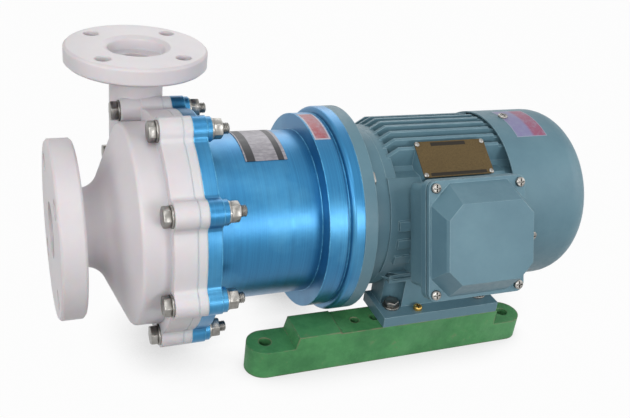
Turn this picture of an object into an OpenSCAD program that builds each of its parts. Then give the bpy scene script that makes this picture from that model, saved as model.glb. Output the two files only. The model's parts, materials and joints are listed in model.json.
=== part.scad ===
// Close-coupled magnetic drive pump: plastic pump end, painted bracket, flanged motor, two cast rails.
// X runs along the shaft towards the fan, the suction faces -X, the discharge faces +Z.
// The origin lies on the floor at the middle of the four foundation holes.

/* [Base rails] */
// Length of each rail
rail_len = 304; // [300:1:330]
// Width of each rail, which is also twice its end radius
rail_w = 36; // [34:1:42]
// Height of the seat that carries the motor feet
rail_h = 40; // [34:1:60]
// Distance between the two foundation holes of a rail
foundation_pitch = 268; // [260:1:270]
// Diameter of the foundation holes
foundation_hole_d = 12; // [9:0.5:15]
// How far the lug at the pump end lies below the seat
front_lug_drop = 11; // [6:0.5:16]
// How far the lug at the fan end lies below the seat
rear_lug_drop = 17; // [8:0.5:20]
// How far the block at the pump end stands above the seat
block_rise = 1.5; // [0.5:0.5:3]
// Length of the raised block
block_len = 46; // [35:1:54]
// Diameter of the spare tapped holes in the seat
spare_hole_d = 9; // [6:0.5:12]

/* [Motor] */
// Height of the shaft above the feet
motor_h = 90; // [89:1:100]
// Distance from the foundation centre to the centre of the foot holes
motor_offset = 46; // [42:1:50]
// Distance from the flange face to the first foot hole
foot_reach = 56; // [54:1:60]
// Distance between the foot holes along the shaft
foot_pitch = 100; // [96:1:104]
// Distance between the foot holes across the shaft
foot_gauge = 140; // [138:1:144]
// Length of the feet
foot_len = 130; // [124:1:134]
// Thickness of the feet
foot_t = 11; // [8:0.5:14]
// Diameter of the foot holes
foot_hole_d = 10; // [9.5:0.5:11]
// Diameter of the motor flange
flange_d = 200; // [196:1:202]
// Thickness of the motor flange
flange_t = 12; // [10:0.5:14]
// Bolt circle of the motor flange
flange_pcd = 165; // [163:1:168]
// Diameter of the flange bolts
flange_bolt_d = 10; // [8:1:12]
// Diameter of the centring spigot
spigot_d = 130; // [124:1:134]
// Height of the centring spigot
spigot_h = 3.5; // [2.5:0.5:5]
// Distance from the flange face to the front of the finned frame
frame_start = 34; // [32:1:38]
// Length of the finned frame
frame_len = 144; // [142:1:148]
// Diameter over the fins
fin_d = 175; // [172:1:177]
// Diameter of the frame wall under the fins
skin_d = 146; // [142:1:148]
// Bore of the frame
stator_d = 130; // [126:1:134]
// Thickness of one fin
fin_t = 3.2; // [2.4:0.2:4]
// Distance between fins
fin_pitch = 11; // [10:0.5:12]
// Distance from the flange face to the end of the cowl
motor_len = 264; // [256:1:275]
// Diameter of the fan cowl
cowl_d = 178; // [176:1:184]
// Sheet thickness of the cowl
cowl_t = 1.5; // [1:0.1:2]
// Distance from the flange face to the front edge of the cowl
cowl_start = 166; // [164:1:169]
// Radius of the rounded cowl edge
cowl_edge_r = 30; // [20:1:36]
// Width of one ring slot in the grille
grille_slot = 5; // [3:0.5:6]

/* [Motor inside] */
// Diameter of the shaft end
shaft_d = 24; // [20:1:24]
// Length of the shaft end
shaft_ext = 50; // [46:1:52]
// Bore of the ball bearings
bearing_d = 25; // [25:1:26]
// Outside diameter of the ball bearings
bearing_od = 52; // [50:1:54]
// Width of the ball bearings
bearing_w = 15; // [14:1:16]
// Diameter of the rotor core seat
core_seat_d = 30; // [28:1:34]
// Bore of the stator core
gap_d = 80; // [76:1:84]
// Length of the stator and rotor cores
core_len = 88; // [80:1:92]
// Length of the winding heads
winding_l = 20; // [14:1:22]
// Diameter of the fan
fan_d = 144; // [120:1:152]
// Number of fan blades
fan_blades = 8; // [6:1:10]

/* [Terminal box] */
// Tilt of the box above the horizontal
box_tilt = 21; // [17:0.5:24]
// Distance from the flange face to the box centre
box_at = 96.5; // [94:0.5:100]
// How far the box centre lies below its own radial line
box_drop = 18; // [14:1:22]
// Width of the box along the shaft
box_w = 88; // [84:1:92]
// Height of the box
box_l = 96; // [92:1:100]
// Width of the rim of the box and its cover beyond the box walls
box_rim = 6; // [5:0.5:7]
// Distance from the shaft to the seat of the box
box_seat = 85; // [84:1:89]
// Depth of the box
box_depth = 38; // [34:1:44]
// Wall thickness of the box and cover
box_wall = 4; // [3:0.5:5]
// Thickness of the cover seal
seal_t = 2; // [1:0.5:3]
// Height of the raised panel of the cover
panel_h = 27; // [20:1:32]
// Width of the raised panel along the shaft
panel_w = 86; // [76:1:90]
// Height of the raised panel across the shaft
panel_l = 71; // [64:1:76]
// Diameter of the cable entry
entry_d = 20; // [16:1:22]

/* [Bracket] */
// Distance from the motor flange face to the front face of the bracket
bracket_len = 143.5; // [142:0.5:150]
// Diameter of the barrel
barrel_d = 157; // [154:1:160]
// Wall thickness of the barrel
barrel_wall = 7; // [5:0.5:8]
// Thickness of the front flange
bracket_flange_t = 12.5; // [10:0.5:14]
// Extra length of the bolt ears behind the front flange
ear_extra = 4.5; // [2:0.5:6]
// Diameter of the first shoulder
shoulder_d = 181; // [176:1:184]
// Diameter of the middle band
band_d = 188; // [186:1:193]
// Thickness of the plate on the motor flange
bracket_plate_t = 13; // [11:0.5:15]

/* [Pump casing] */
// Bolt circle of the casing bolts
bolt_pcd = 206; // [204:1:212]
// Diameter of the casing bolts
bolt_d = 10; // [8:1:11]
// Diameter of the bolt bosses
boss_d = 24; // [22:0.5:26]
// Diameter of the bolted flanges between the bosses
joint_d = 204; // [198:1:208]
// Length of the bosses on the casing
boss_len = 20; // [18:1:24]
// Length of the two bosses beside the discharge
long_boss_len = 38; // [36:0.5:42]
// Thickness of the containment shell flange
shell_flange_t = 8; // [6:0.5:10]
// Depth of the drum from the joint to its front
drum_depth = 49; // [48:1:54]
// Diameter of the drum
drum_d = 184; // [178:1:185]
// Wall thickness of the drum
drum_wall = 10; // [8:0.5:12]
// Length of the casing from the joint to the suction face
suction_reach = 106; // [104:0.5:118]
// Diameter of the suction flange
suction_d = 160; // [156:1:166]
// Thickness of the suction flange
suction_t = 21.5; // [20:0.5:25]
// Bolt circle of the suction flange
suction_pcd = 125; // [120:1:130]
// Diameter of the suction flange holes
suction_hole_d = 18; // [14:0.5:19]
// Bore of the suction
suction_bore = 50; // [46:1:52]
// Diameter of the suction neck
neck_d = 70; // [68:1:76]
// Distance from the joint to the discharge axis
discharge_at = 19; // [16:0.5:22]
// Distance from the shaft to the discharge axis, on the side away from the terminal box
discharge_off = 77; // [76:0.5:78]
// Height of the discharge face above the shaft
discharge_h = 141; // [138:0.5:150]
// Diameter of the discharge flange
discharge_d = 129; // [124:1:136]
// Thickness of the discharge flange
discharge_t = 16.5; // [15:0.5:20]
// Bolt circle of the discharge flange
discharge_pcd = 100; // [96:1:102]
// Diameter of the discharge flange holes
discharge_hole_d = 14; // [12:0.5:16]
// Bore of the discharge
discharge_bore = 28; // [26:1:30]
// Diameter of the discharge neck
riser_d = 49; // [48:1:52]
// Diameter of the recess in the discharge mouth
mouth_d = 52; // [50:1:54]

/* [Magnetic drive] */
// Inside diameter of the containment shell
can_d = 96; // [94:1:98]
// Wall thickness of the containment shell
can_wall = 6; // [4:0.5:6]
// Length of the can behind the shell flange
can_len = 84; // [82:1:86]
// Diameter of the fixed pump shaft
pin_d = 16; // [14:1:18]
// Wall thickness of the impeller bush
bush_wall = 4; // [3:0.5:5]
// Diameter of the impeller
impeller_d = 125; // [115:1:135]
// Number of impeller vanes
vane_count = 6; // [5:1:7]
// Width of the passage between the impeller shrouds
vane_w = 9; // [6:0.5:10]
// Thickness of the magnets
magnet_t = 5; // [4:0.5:5.5]
// Number of magnets round each ring
magnet_count = 10; // [8:2:12]
// Length of the magnets
magnet_len = 58; // [50:1:60]
// Radial gap on both sides of the can wall
can_gap = 1.5; // [1:0.1:1.5]
// Wall thickness of the outer magnet carrier
carrier_wall = 5; // [4:0.5:5.5]

/* [Fits] */
// Radial clearance where one still piece seats in another
seat_gap = 0.05; // [0.02:0.01:0.1]
// Radial clearance of a running fit
run_gap = 0.05; // [0.02:0.01:0.09]
// Clearance of a bolt in its hole, on the diameter
bolt_gap = 1; // [0.6:0.1:1.5]

/* [Hidden] */
$fn = 96;
eps = 0.01;
axis_z = rail_h + motor_h;
face_x = motor_offset - foot_pitch / 2 - foot_reach;
flange_front = -bracket_len;
joint_x = flange_front - shell_flange_t;
suction_x = joint_x - suction_reach;
drum_x = joint_x - drum_depth;
discharge_x = joint_x - discharge_at;
frame_end = frame_start + frame_len;
foot_mid = foot_reach + foot_pitch / 2;
core_mid = (frame_start + frame_end) / 2;
rail_mid = -face_x;
bolt_count = 8;
bolt_first = 13.2;
white_plastic = "#e8e6e8";
blue_paint = "#3a92c8";
motor_paint = "#6a8a92";
rail_paint = "#3f8f4c";
steel = "#b9bcc0";

// Sizes that several pieces share
foot_bolt_d = foot_hole_d - 2;
foot_edge = foot_gauge / 2 + rail_w / 2;
foot_in = foot_edge - 48;
washer_t = 2;
cowl_in_r = cowl_d / 2 - cowl_t;
cowl_screw_x = cowl_start + 23;
cowl_screw_d = 5;
shield_step = 4;
shield_screw_d = 5;
shield_screw_r = (stator_d + skin_d) / 4;
shield_disc_t = 12;
rear_x = frame_end + shield_disc_t;
front_bearing_x = 15;
rear_bearing_x = rear_x - 4 - bearing_w;
hub_r = bearing_od / 2 + 6;
ball_track_r = (bearing_d + bearing_od) / 4;
ball_d = 7.9;
ball_gap = 0.1;
plate_seat = fin_d / 2 + 0.5;
front_band = 10;
band_top = fin_d / 2 - 7;
side_r = fin_d / 2 - 5.5;
side_low = -34;
side_high = 58;
side_end = cowl_start - 4;
plate_turn = 35.5;
plate_at = 106;
plate_w = 76;
plate_l = 38;
plate_t = 0.8;
rivet_inset = 2.6;
rivet_d = 3;
rim_w = box_w + 2 * box_rim;
rim_l = box_l + 2 * box_rim;
rim_t = 8;
cover_screw_inset = 6.5;
cover_screw_d = 5;
box_top = box_seat + box_depth;
cover_seat = box_top + seal_t;
post_w = 12;
gland_flats = entry_d + 5;
entry_w = box_top - rim_t - gland_flats / 2 / cos(30) - 1;
block_l = 44;
block_w = 30;
block_h = 14;
stud_d = 5;
stud_pitch = 14;
ring_w = 12;
band_w = 19;
shoulder_w = 16;
label_turn = 2;
label_span = 45;
label_len = 39;
label_x = -75.5;
label_t = 0.6;
nut_h = 0.8 * bolt_d;
bolt_hex = 1.6 * bolt_d;
can_ro = can_d / 2 + can_wall;
can_end = flange_front + can_len;
can_floor = 8;
magnet_in_r = can_ro + can_gap;
carrier_ro = magnet_in_r + magnet_t + carrier_wall;
carrier_disc_t = 9;
carrier_disc_x = can_end + 4;
capsule_r = can_d / 2 - can_gap;
capsule_wall = 3.5;
capsule_end = can_end - can_floor - 3;
yoke_r = capsule_r - capsule_wall - magnet_t - 2 * seat_gap;
bush_r = pin_d / 2 + bush_wall;
hub_wall = 5;
impeller_hub_r = bush_r + hub_wall;
shroud_t = 3;
back_plate_t = 4;
chamber_x = drum_x + drum_wall;
impeller_x = chamber_x + 3;
impeller_back = impeller_x + shroud_t + vane_w + back_plate_t;
inner_front = flange_front + 2;
inner_disc_t = 5;
magnet_x = inner_front + inner_disc_t + 3;
carrier_mouth = magnet_x - 2;
support_r = suction_bore / 2 + 3;
eye_wall = 2.5;
eye_r = support_r - eye_wall - 0.5;
support_len = 12;
support_x = drum_x - 10;
support_lip = 11;
pin_socket = 6;
pin_start = support_x + 4;
thrust_t = 4;
seal_groove = 3;
seal_w = 4;
seal_r = drum_d / 2 - drum_wall + 4;
ear_back = flange_front + bracket_flange_t + ear_extra;
bolt_end = 2;
bolt_angles = [for (i = [0:bolt_count - 1]) bolt_first + i * 360 / bolt_count];
short_angles = [for (i = [0:5]) bolt_angles[i]];
long_angles = [for (i = [6, 7]) bolt_angles[i]];
boss_seat = joint_x - boss_len;
long_seat = joint_x - long_boss_len;
flange_bolt_angles = [45, 135, 225, 315];
cowl_screw_angles = [0, 90, 180, 270];
foot_hole_x = [face_x + foot_reach, face_x + foot_reach + foot_pitch];
tap_depth = 25;
tap_grip = 18;
earth_d = 5;
ring_split = 0.16 * (bearing_od - bearing_d) / 2;
fan_x = rear_x + 8;
fan_seat_d = bearing_d - 5;
fan_hub_len = 20;
shaft_end_x = fan_x + fan_hub_len + 6;
clip_x = shaft_end_x - 5;
clip_groove = 1.5;
clip_depth = 0.8;
key_x = -shaft_ext + 6;
key_w = 8;
key_h = 7;
key_depth = 4;
key_len = 36;
end_screw_d = 8;
end_screw_reach = 18;
screw_head_h = 3;
screw_head_r = 7;
axial_play = 0.5;
bush_x = support_x + support_len + thrust_t + axial_play;

// Moves the shaft frame, with its zero at the motor flange face, into the frame of the whole pump
module at_shaft() translate([face_x, 0, axis_z]) children();

// Repeats something about the shaft, at angles from straight up towards the terminal box side
module about_shaft(angles) for (a = angles) rotate([a, 0, 0]) children();

// A ring or rod along the shaft
module ring(x0, x1, ro, ri = 0)
    translate([x0, 0, 0]) rotate([0, 90, 0]) rotate_extrude() translate([ri, 0]) square([ro - ri, x1 - x0]);

// A solid of revolution about the shaft, from points of place along the shaft and radius
module spin(points) rotate([0, 90, 0]) rotate_extrude() polygon([for (p = points) [p[1], p[0]]]);

// A straight cylinder along the shaft at a height above it
module rod(x0, x1, d, height) translate([x0, 0, height]) rotate([0, 90, 0]) cylinder(h = x1 - x0, d = d);

// A hexagon along the shaft at a height above it
module hex(x0, x1, flats, height)
    translate([x0, 0, height]) rotate([0, 90, 0]) cylinder(h = x1 - x0, d = flats / cos(30), $fn = 6);

// Points of an arc, with the centre and the angles in the profile plane
function arc(centre, r, from, to, steps = 6) =
    [for (i = [0:steps]) let (a = from + (to - from) * i / steps) centre + r * [cos(a), sin(a)]];

// A flat outline with round corners
module round_rect(w, l, r) {
    square([w - 2 * r, l], center = true);
    square([w, l - 2 * r], center = true);
    for (x = [-1, 1], y = [-1, 1]) translate([x * (w / 2 - r), y * (l / 2 - r)]) circle(r);
}

module rail(side) {
    lug_x = -rail_len / 2 + rail_w + 7;
    block_end = lug_x + block_len;
    seat_end = face_x + foot_mid + foot_len / 2 + 2;
    draft = 3;
    front_z = rail_h - front_lug_drop;
    rear_z = rail_h - rear_lug_drop;
    spare_holes = [21, 42];
    translate([0, side * foot_gauge / 2, 0]) difference() {
        intersection() {
            linear_extrude(rail_h + block_rise) round_rect(rail_len, rail_w, rail_w / 2 - eps);
            translate([0, rail_w, 0]) rotate([90, 0, 0]) linear_extrude(2 * rail_w) polygon([
                [-rail_len / 2, 0], [rail_len / 2, 0], [rail_len / 2, rear_z], [seat_end, rear_z],
                [seat_end, rail_h], [block_end, rail_h], [block_end, rail_h + block_rise],
                [lug_x + draft, rail_h + block_rise], [lug_x, front_z], [-rail_len / 2, front_z]]);
        }
        for (x = [-1, 1] * foundation_pitch / 2) translate([x, 0, -1])
            cylinder(h = rail_h, d = foundation_hole_d);
        for (x = foot_hole_x) translate([x, 0, rail_h - tap_depth])
            cylinder(h = tap_depth + 1, d = foot_bolt_d + 2 * seat_gap);
        for (x = spare_holes) translate([block_end + x, 0, rail_h - tap_depth])
            cylinder(h = tap_depth + 1, d = spare_hole_d);
    }
}

module base_rail_near() color(rail_paint) rail(-1);

module base_rail_far() color(rail_paint) rail(1);

// Places a child at each of the four foot holes, on top of the foot
module at_foot_holes()
    for (x = foot_hole_x, y = [-1, 1]) translate([x, y * foot_gauge / 2, rail_h + foot_t]) children();

module foot_bolts() color(steel) at_foot_holes() {
    shank = foot_t + washer_t + tap_grip;
    translate([0, 0, washer_t]) cylinder(h = 0.65 * foot_bolt_d, d = 1.6 * foot_bolt_d / cos(30), $fn = 6);
    translate([0, 0, washer_t - shank]) cylinder(h = shank, d = foot_bolt_d);
}

module foot_washers() color(steel) at_foot_holes() rotate_extrude()
    translate([foot_bolt_d / 2 + bolt_gap / 4, 0]) square([0.55 * foot_bolt_d, washer_t]);

// The outline that trims the fin tips, which slope down to the front band and stay under the cowl
module fin_envelope() {
    r = fin_d / 2;
    slope_x = frame_start + 6;
    slope_len = 12;
    spin([[frame_start, 0], [frame_start, band_top], [slope_x, band_top], [slope_x + slope_len, r],
        [cowl_start - 4, r], [cowl_start - 4, cowl_in_r - 2], [frame_end, cowl_in_r - 2], [frame_end, 0]]);
}

module fin_plates() {
    reach = fin_d + 10;
    for (i = [-4:5]) translate([frame_start, -reach / 2, i * fin_pitch - fin_t / 2])
        cube([frame_len, reach, fin_t]);
    for (i = [-3:4]) translate([frame_start, (i - 0.5) * fin_pitch - fin_t / 2, 0])
        cube([frame_len, fin_t, reach / 2]);
    for (i = [-1:2]) translate([frame_start, (i - 0.5) * fin_pitch - fin_t / 2, -reach / 2])
        cube([frame_len, fin_t, reach / 2]);
}

// The space of the smooth side in front of the terminal box and behind it
module side_space() translate([frame_start - 1, -fin_d, side_low])
    cube([side_end - frame_start + 1, fin_d, side_high - side_low]);

// The smooth side of the frame, with three low stub ribs
module smooth_side() {
    rib_x = frame_start + 8;
    rib_len = 22;
    rib_h = 9;
    intersection() {
        ring(frame_start, side_end, side_r);
        side_space();
    }
    intersection() {
        ring(rib_x, rib_x + rib_len, side_r + 3);
        for (z = [20, 2, -16]) translate([rib_x, -fin_d, z - rib_h / 2])
            cube([rib_len, fin_d / 2 + 30, rib_h]);
    }
}

// The frame of the terminal box: x along the shaft, y up the box, z away from the shaft
module at_box() at_shaft() rotate([90 - box_tilt, 0, 0]) translate([box_at, -box_drop, 0]) children();

module plate_frame() at_shaft() rotate([plate_turn, 0, 0]) translate([plate_at, 0, 0]) children();

module feet() {
    web_top = -40;
    web_in = foot_in + 2;
    web_out = foot_edge - 15;
    for (side = [-1, 1]) mirror([0, side < 0 ? 1 : 0, 0]) {
        translate([foot_mid - foot_len / 2, foot_in, -motor_h])
            cube([foot_len, foot_edge - foot_in, foot_t]);
        translate([foot_mid - foot_len / 2 + 6, web_in, -motor_h])
            cube([foot_len - 12, web_out - web_in, motor_h + web_top]);
    }
}

module motor_frame() color(motor_paint) difference() {
    pad_root = 34;
    pad_inset = 6;
    box_air = 0.5;
    union() {
        at_shaft() {
            ring(frame_start, frame_end, skin_d / 2);
            ring(frame_start, frame_start + front_band, band_top);
            difference() {
                intersection() {
                    fin_envelope();
                    fin_plates();
                }
                side_space();
            }
            smooth_side();
            feet();
        }
        at_box() translate([0, 0, skin_d / 2 - pad_root]) linear_extrude(box_seat - skin_d / 2 + pad_root)
            round_rect(box_w - 2 * pad_inset, box_l - 2 * pad_inset, pad_inset);
        plate_frame() translate([0, 0, skin_d / 2 - 4]) linear_extrude(plate_seat - skin_d / 2 + 4)
            round_rect(plate_w - 1, plate_l - 1, 2);
    }
    at_box() translate([0, 0, box_seat]) linear_extrude(box_depth)
        round_rect(box_w + 2 * box_air, box_l + 2 * box_air, 6);
    at_shaft() {
        ring(frame_start - 1, frame_end + 1, stator_d / 2);
        about_shaft(flange_bolt_angles)
            rod(frame_end - 15, frame_end + 1, shield_screw_d + 2 * seat_gap, shield_screw_r);
    }
    at_foot_holes() translate([0, 0, -foot_t - 1]) cylinder(h = foot_t + 30, d = foot_hole_d);
    at_foot_holes() cylinder(h = 30, d = 2.6 * foot_bolt_d);
    plate_frame() at_rivets() translate([0, 0, plate_seat - 6]) cylinder(h = 7, d = rivet_d + 2 * seat_gap);
    earth_place() translate([0, 0, -8]) cylinder(h = 9, d = earth_d + 2 * seat_gap);
}

// The earth screw stands on the foot under the terminal box
module earth_place() translate([face_x + foot_reach + 25, -foot_edge + 8, rail_h + foot_t]) children();

module earth_screw() color(steel) earth_place() {
    translate([0, 0, -7]) cylinder(h = 7, d = earth_d);
    cylinder(h = 4, d = 9);
}

module front_end_shield() color(motor_paint) at_shaft() {
    neck_r = skin_d / 2 - 1;
    inner_r = stator_d / 2 - 5;
    bell_x = frame_start - 13;
    difference() {
        union() {
            ring(0, flange_t, flange_d / 2);
            ring(bell_x, frame_start, band_top);
            ring(-spigot_h, 0, spigot_d / 2 - seat_gap);
            ring(flange_t - eps, frame_start, neck_r);
            ring(frame_start - eps, frame_start + shield_step, stator_d / 2 - seat_gap);
        }
        ring(front_bearing_x, frame_start + shield_step + 1, inner_r, hub_r);
        ring(front_bearing_x, frame_start + shield_step + 1, bearing_od / 2 + seat_gap);
        ring(front_bearing_x + bearing_w, frame_start + shield_step + 1, inner_r);
        ring(-spigot_h - 1, frame_start, bearing_d / 2 + 1);
        about_shaft(flange_bolt_angles) rod(-1, flange_t + 1, flange_bolt_d + 2 * bolt_gap, flange_pcd / 2);
    }
}

module rear_end_shield() color(motor_paint) at_shaft() {
    inner_r = stator_d / 2 - 5;
    lug_w = 16;
    lug_top = cowl_in_r - 0.3;
    difference() {
        union() {
            ring(frame_end, rear_x, skin_d / 2);
            ring(frame_end - shield_step, frame_end + eps, stator_d / 2 - seat_gap, inner_r);
            ring(rear_bearing_x, frame_end + eps, hub_r);
            about_shaft(cowl_screw_angles) translate([frame_end, -lug_w / 2, skin_d / 2 - 5])
                cube([cowl_screw_x + 7 - frame_end, lug_w, lug_top - skin_d / 2 + 5]);
        }
        ring(rear_bearing_x - 1, rear_bearing_x + bearing_w, bearing_od / 2 + seat_gap);
        ring(frame_end - shield_step, rear_x + 1, bearing_d / 2 + 1);
        about_shaft(flange_bolt_angles)
            rod(frame_end - 1, rear_x + 1, shield_screw_d + bolt_gap, shield_screw_r);
        about_shaft(cowl_screw_angles) translate([cowl_screw_x, 0, lug_top - 12])
            cylinder(h = 14, d = cowl_screw_d + 2 * seat_gap);
    }
}

module shield_screws() color(steel) at_shaft() about_shaft(flange_bolt_angles) {
    head_h = 4;
    rod(frame_end - 12, rear_x, shield_screw_d, shield_screw_r);
    hex(rear_x, rear_x + head_h, 1.6 * shield_screw_d, shield_screw_r);
}

module fan_cowl() color(motor_paint) at_shaft() {
    ro = cowl_d / 2;
    flat_r = ro - cowl_edge_r;
    bend_x = motor_len - cowl_edge_r;
    spoke_w = 6;
    slot_pitch = 10;
    slots = floor((flat_r - 16) / slot_pitch);
    difference() {
        spin(concat([[cowl_start, ro]], arc([bend_x, flat_r], cowl_edge_r, 90, 0, 10), [[motor_len, 0]],
            [[motor_len - cowl_t, 0]], arc([bend_x, flat_r], cowl_edge_r - cowl_t, 0, 90, 10),
            [[cowl_start, cowl_in_r]]));
        difference() {
            for (i = [0:slots]) let (r = 14 + i * slot_pitch)
                ring(motor_len - 2 * cowl_t, motor_len + 1, r + grille_slot, r);
            about_shaft([0:60:300]) translate([motor_len - 3 * cowl_t, -spoke_w / 2, 0])
                cube([6 * cowl_t, spoke_w, ro]);
        }
        about_shaft(cowl_screw_angles) translate([cowl_screw_x, 0, ro - 6])
            cylinder(h = 12, d = cowl_screw_d + bolt_gap);
    }
}

module cowl_screws() color(steel) at_shaft() about_shaft(cowl_screw_angles) translate([cowl_screw_x, 0, 0]) {
    head_seat = cowl_d / 2;
    translate([0, 0, cowl_in_r - 10]) cylinder(h = head_seat - cowl_in_r + 10 + eps, d = cowl_screw_d);
    translate([0, 0, head_seat]) cylinder(h = 2.6, d = 2 * cowl_screw_d);
}

// Places a child at each corner rivet of the nameplate
module at_rivets()
    for (x = [-1, 1] * (plate_w / 2 - rivet_inset), y = [-1, 1] * (plate_l / 2 - rivet_inset))
        translate([x, y, 0]) children();

module motor_nameplate() color("#8a7440") plate_frame() translate([0, 0, plate_seat]) difference() {
    linear_extrude(plate_t) round_rect(plate_w, plate_l, 2);
    at_rivets() translate([0, 0, -1]) cylinder(h = plate_t + 2, d = rivet_d + 0.4);
}

module nameplate_rivets() color(steel) plate_frame() at_rivets() {
    translate([0, 0, plate_seat - 5]) cylinder(h = 5 + plate_t, d = rivet_d);
    translate([0, 0, plate_seat + plate_t]) cylinder(h = 1, d = 1.7 * rivet_d);
}

// Places a child at each cover screw
module at_cover_screws()
    for (x = [-1, 1] * (rim_w / 2 - cover_screw_inset), y = [-1, 1] * (rim_l / 2 - cover_screw_inset))
        translate([x, y, 0]) children();

// The opening of the box, which leaves a post in each corner for a cover screw
module box_opening() {
    w = box_w - 2 * box_wall;
    l = box_l - 2 * box_wall;
    square([w, l - 2 * post_w], center = true);
    square([w - 2 * post_w, l], center = true);
}

module terminal_box() color(motor_paint) at_box() difference() {
    union() {
        translate([0, 0, box_seat]) linear_extrude(box_depth) round_rect(box_w, box_l, 6);
        translate([0, 0, box_top - rim_t]) linear_extrude(rim_t) round_rect(rim_w, rim_l, 8);
    }
    translate([0, 0, box_seat + box_wall]) linear_extrude(box_depth) box_opening();
    at_cover_screws() translate([0, 0, box_top - 14]) cylinder(h = 15, d = cover_screw_d + 2 * seat_gap);
    translate([box_w / 2 - box_wall - 1, 0, entry_w]) rotate([0, 90, 0])
        cylinder(h = box_wall + 2, d = entry_d);
}

module terminal_seal() color("#2a2c2e") at_box() translate([0, 0, box_top]) difference() {
    linear_extrude(seal_t) round_rect(rim_w - 2, rim_l - 2, 8);
    translate([0, 0, -1]) linear_extrude(seal_t + 2) box_opening();
    at_cover_screws() translate([0, 0, -1]) cylinder(h = seal_t + 2, d = cover_screw_d + bolt_gap);
}

// One level of the raised cover panel: a rectangle with cut corners
module panel_level(w, l, cut, z) translate([0, 0, z]) linear_extrude(0.1) polygon([
    [w / 2, l / 2 - cut], [w / 2 - cut, l / 2], [cut - w / 2, l / 2], [-w / 2, l / 2 - cut],
    [-w / 2, cut - l / 2], [cut - w / 2, -l / 2], [w / 2 - cut, -l / 2], [w / 2, cut - l / 2]]);

// The raised panel, from a base just inside the rim to its smaller top
module panel_solid(shrink, low, high) {
    base_inset = 2 + shrink;
    edge = 3;
    hull() {
        panel_level(rim_w - 2 * base_inset, rim_l - 2 * base_inset - 2, 18, low);
        panel_level(panel_w + edge - 2 * shrink, panel_l + edge - 2 * shrink, 14, high - edge);
        panel_level(panel_w - 2 * shrink, panel_l - 2 * shrink, 13, high - 0.1);
    }
}

module terminal_cover() color(motor_paint) at_box() translate([0, 0, cover_seat]) difference() {
    union() {
        linear_extrude(box_wall) round_rect(rim_w, rim_l, 8);
        panel_solid(0, box_wall - 0.2, panel_h);
    }
    panel_solid(box_wall, -0.1, panel_h - box_wall);
    at_cover_screws() translate([0, 0, -1]) cylinder(h = box_wall + 2, d = cover_screw_d + bolt_gap);
}

module terminal_screws() color(steel) at_box() at_cover_screws() {
    translate([0, 0, box_top - 12]) cylinder(h = 12 + seal_t + box_wall, d = cover_screw_d);
    translate([0, 0, cover_seat + box_wall]) cylinder(h = 3, d = 1.8 * cover_screw_d);
}

// Places a child at each of the six terminals
module at_terminals()
    for (x = [-1:1], y = [-1, 1])
        translate([x * stud_pitch, y * block_w / 4, box_seat + box_wall]) children();

module terminal_block() color("#3a2e28") at_box() difference() {
    translate([0, 0, box_seat + box_wall]) linear_extrude(block_h) round_rect(block_l, block_w, 3);
    at_terminals() translate([0, 0, 4]) cylinder(h = block_h, d = stud_d + 2 * seat_gap);
}

module terminal_studs() color("#c9a25a") at_box() at_terminals() {
    translate([0, 0, 4]) cylinder(h = block_h + 6, d = stud_d);
    translate([0, 0, block_h]) cylinder(h = 4, d = 1.6 * stud_d / cos(30), $fn = 6);
}

module cable_gland() color("#2f3134") at_box() translate([box_w / 2, 0, entry_w]) rotate([0, 90, 0]) {
    body_h = 8;
    nut_len = 12;
    difference() {
        union() {
            translate([0, 0, -box_wall - 3]) cylinder(h = box_wall + 3, d = entry_d - 2 * seat_gap);
            cylinder(h = body_h, d = gland_flats / cos(30), $fn = 6);
            translate([0, 0, body_h]) cylinder(h = nut_len, d1 = gland_flats, d2 = 0.75 * gland_flats);
        }
        translate([0, 0, -box_wall - 4]) cylinder(h = body_h + nut_len + box_wall + 6, d = 0.5 * entry_d);
    }
}

module stator_core() color("#7c7f84") at_shaft()
    ring(core_mid - core_len / 2, core_mid + core_len / 2, stator_d / 2 - seat_gap, gap_d / 2);

module stator_windings() color("#b5713a") at_shaft() {
    ri = gap_d / 2 + 4;
    ro = stator_d / 2 - 8;
    ring(core_mid - core_len / 2 - winding_l, core_mid - core_len / 2, ro, ri);
    ring(core_mid + core_len / 2, core_mid + core_len / 2 + winding_l, ro, ri);
}

// Places a child at each ball bearing, centred along its width
module at_bearings() at_shaft()
    for (x = [front_bearing_x, rear_bearing_x]) translate([x + bearing_w / 2, 0, 0]) children();

module bearing_outer_rings() color(steel) at_bearings() difference() {
    union() {
        ring(-bearing_w / 2, bearing_w / 2, bearing_od / 2, ball_track_r + ring_split);
        for (x = [-bearing_w / 2 + 0.5, bearing_w / 2 - 1.3])
            ring(x, x + 0.8, bearing_od / 2 - 1, ball_track_r - ring_split + 0.5);
    }
    rotate([0, 90, 0]) rotate_extrude() translate([ball_track_r, 0]) circle(d = ball_d + 2 * ball_gap);
}

module bearing_balls() color(steel) at_bearings() about_shaft([0:40:320])
    translate([0, 0, ball_track_r]) sphere(d = ball_d);

module bearing_inner_rings() color(steel) at_bearings() difference() {
    ring(-bearing_w / 2, bearing_w / 2, ball_track_r - ring_split, bearing_d / 2);
    rotate([0, 90, 0]) rotate_extrude() translate([ball_track_r, 0]) circle(d = ball_d + 2 * ball_gap);
}

module motor_shaft() color(steel) at_shaft() difference() {
    union() {
        ring(-shaft_ext, front_bearing_x - 3, shaft_d / 2);
        ring(front_bearing_x - 3, front_bearing_x + bearing_w, bearing_d / 2 - seat_gap);
        ring(front_bearing_x + bearing_w, rear_bearing_x, core_seat_d / 2);
        ring(rear_bearing_x, fan_x, bearing_d / 2 - seat_gap);
        ring(fan_x, shaft_end_x, fan_seat_d / 2);
    }
    translate([key_x, -key_w / 2, shaft_d / 2 - key_depth]) cube([key_len, key_w, key_h]);
    ring(-shaft_ext - 1, -shaft_ext + end_screw_reach + 4, end_screw_d / 2 + seat_gap);
    ring(clip_x, clip_x + clip_groove, fan_seat_d, fan_seat_d / 2 - clip_depth);
}

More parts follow.
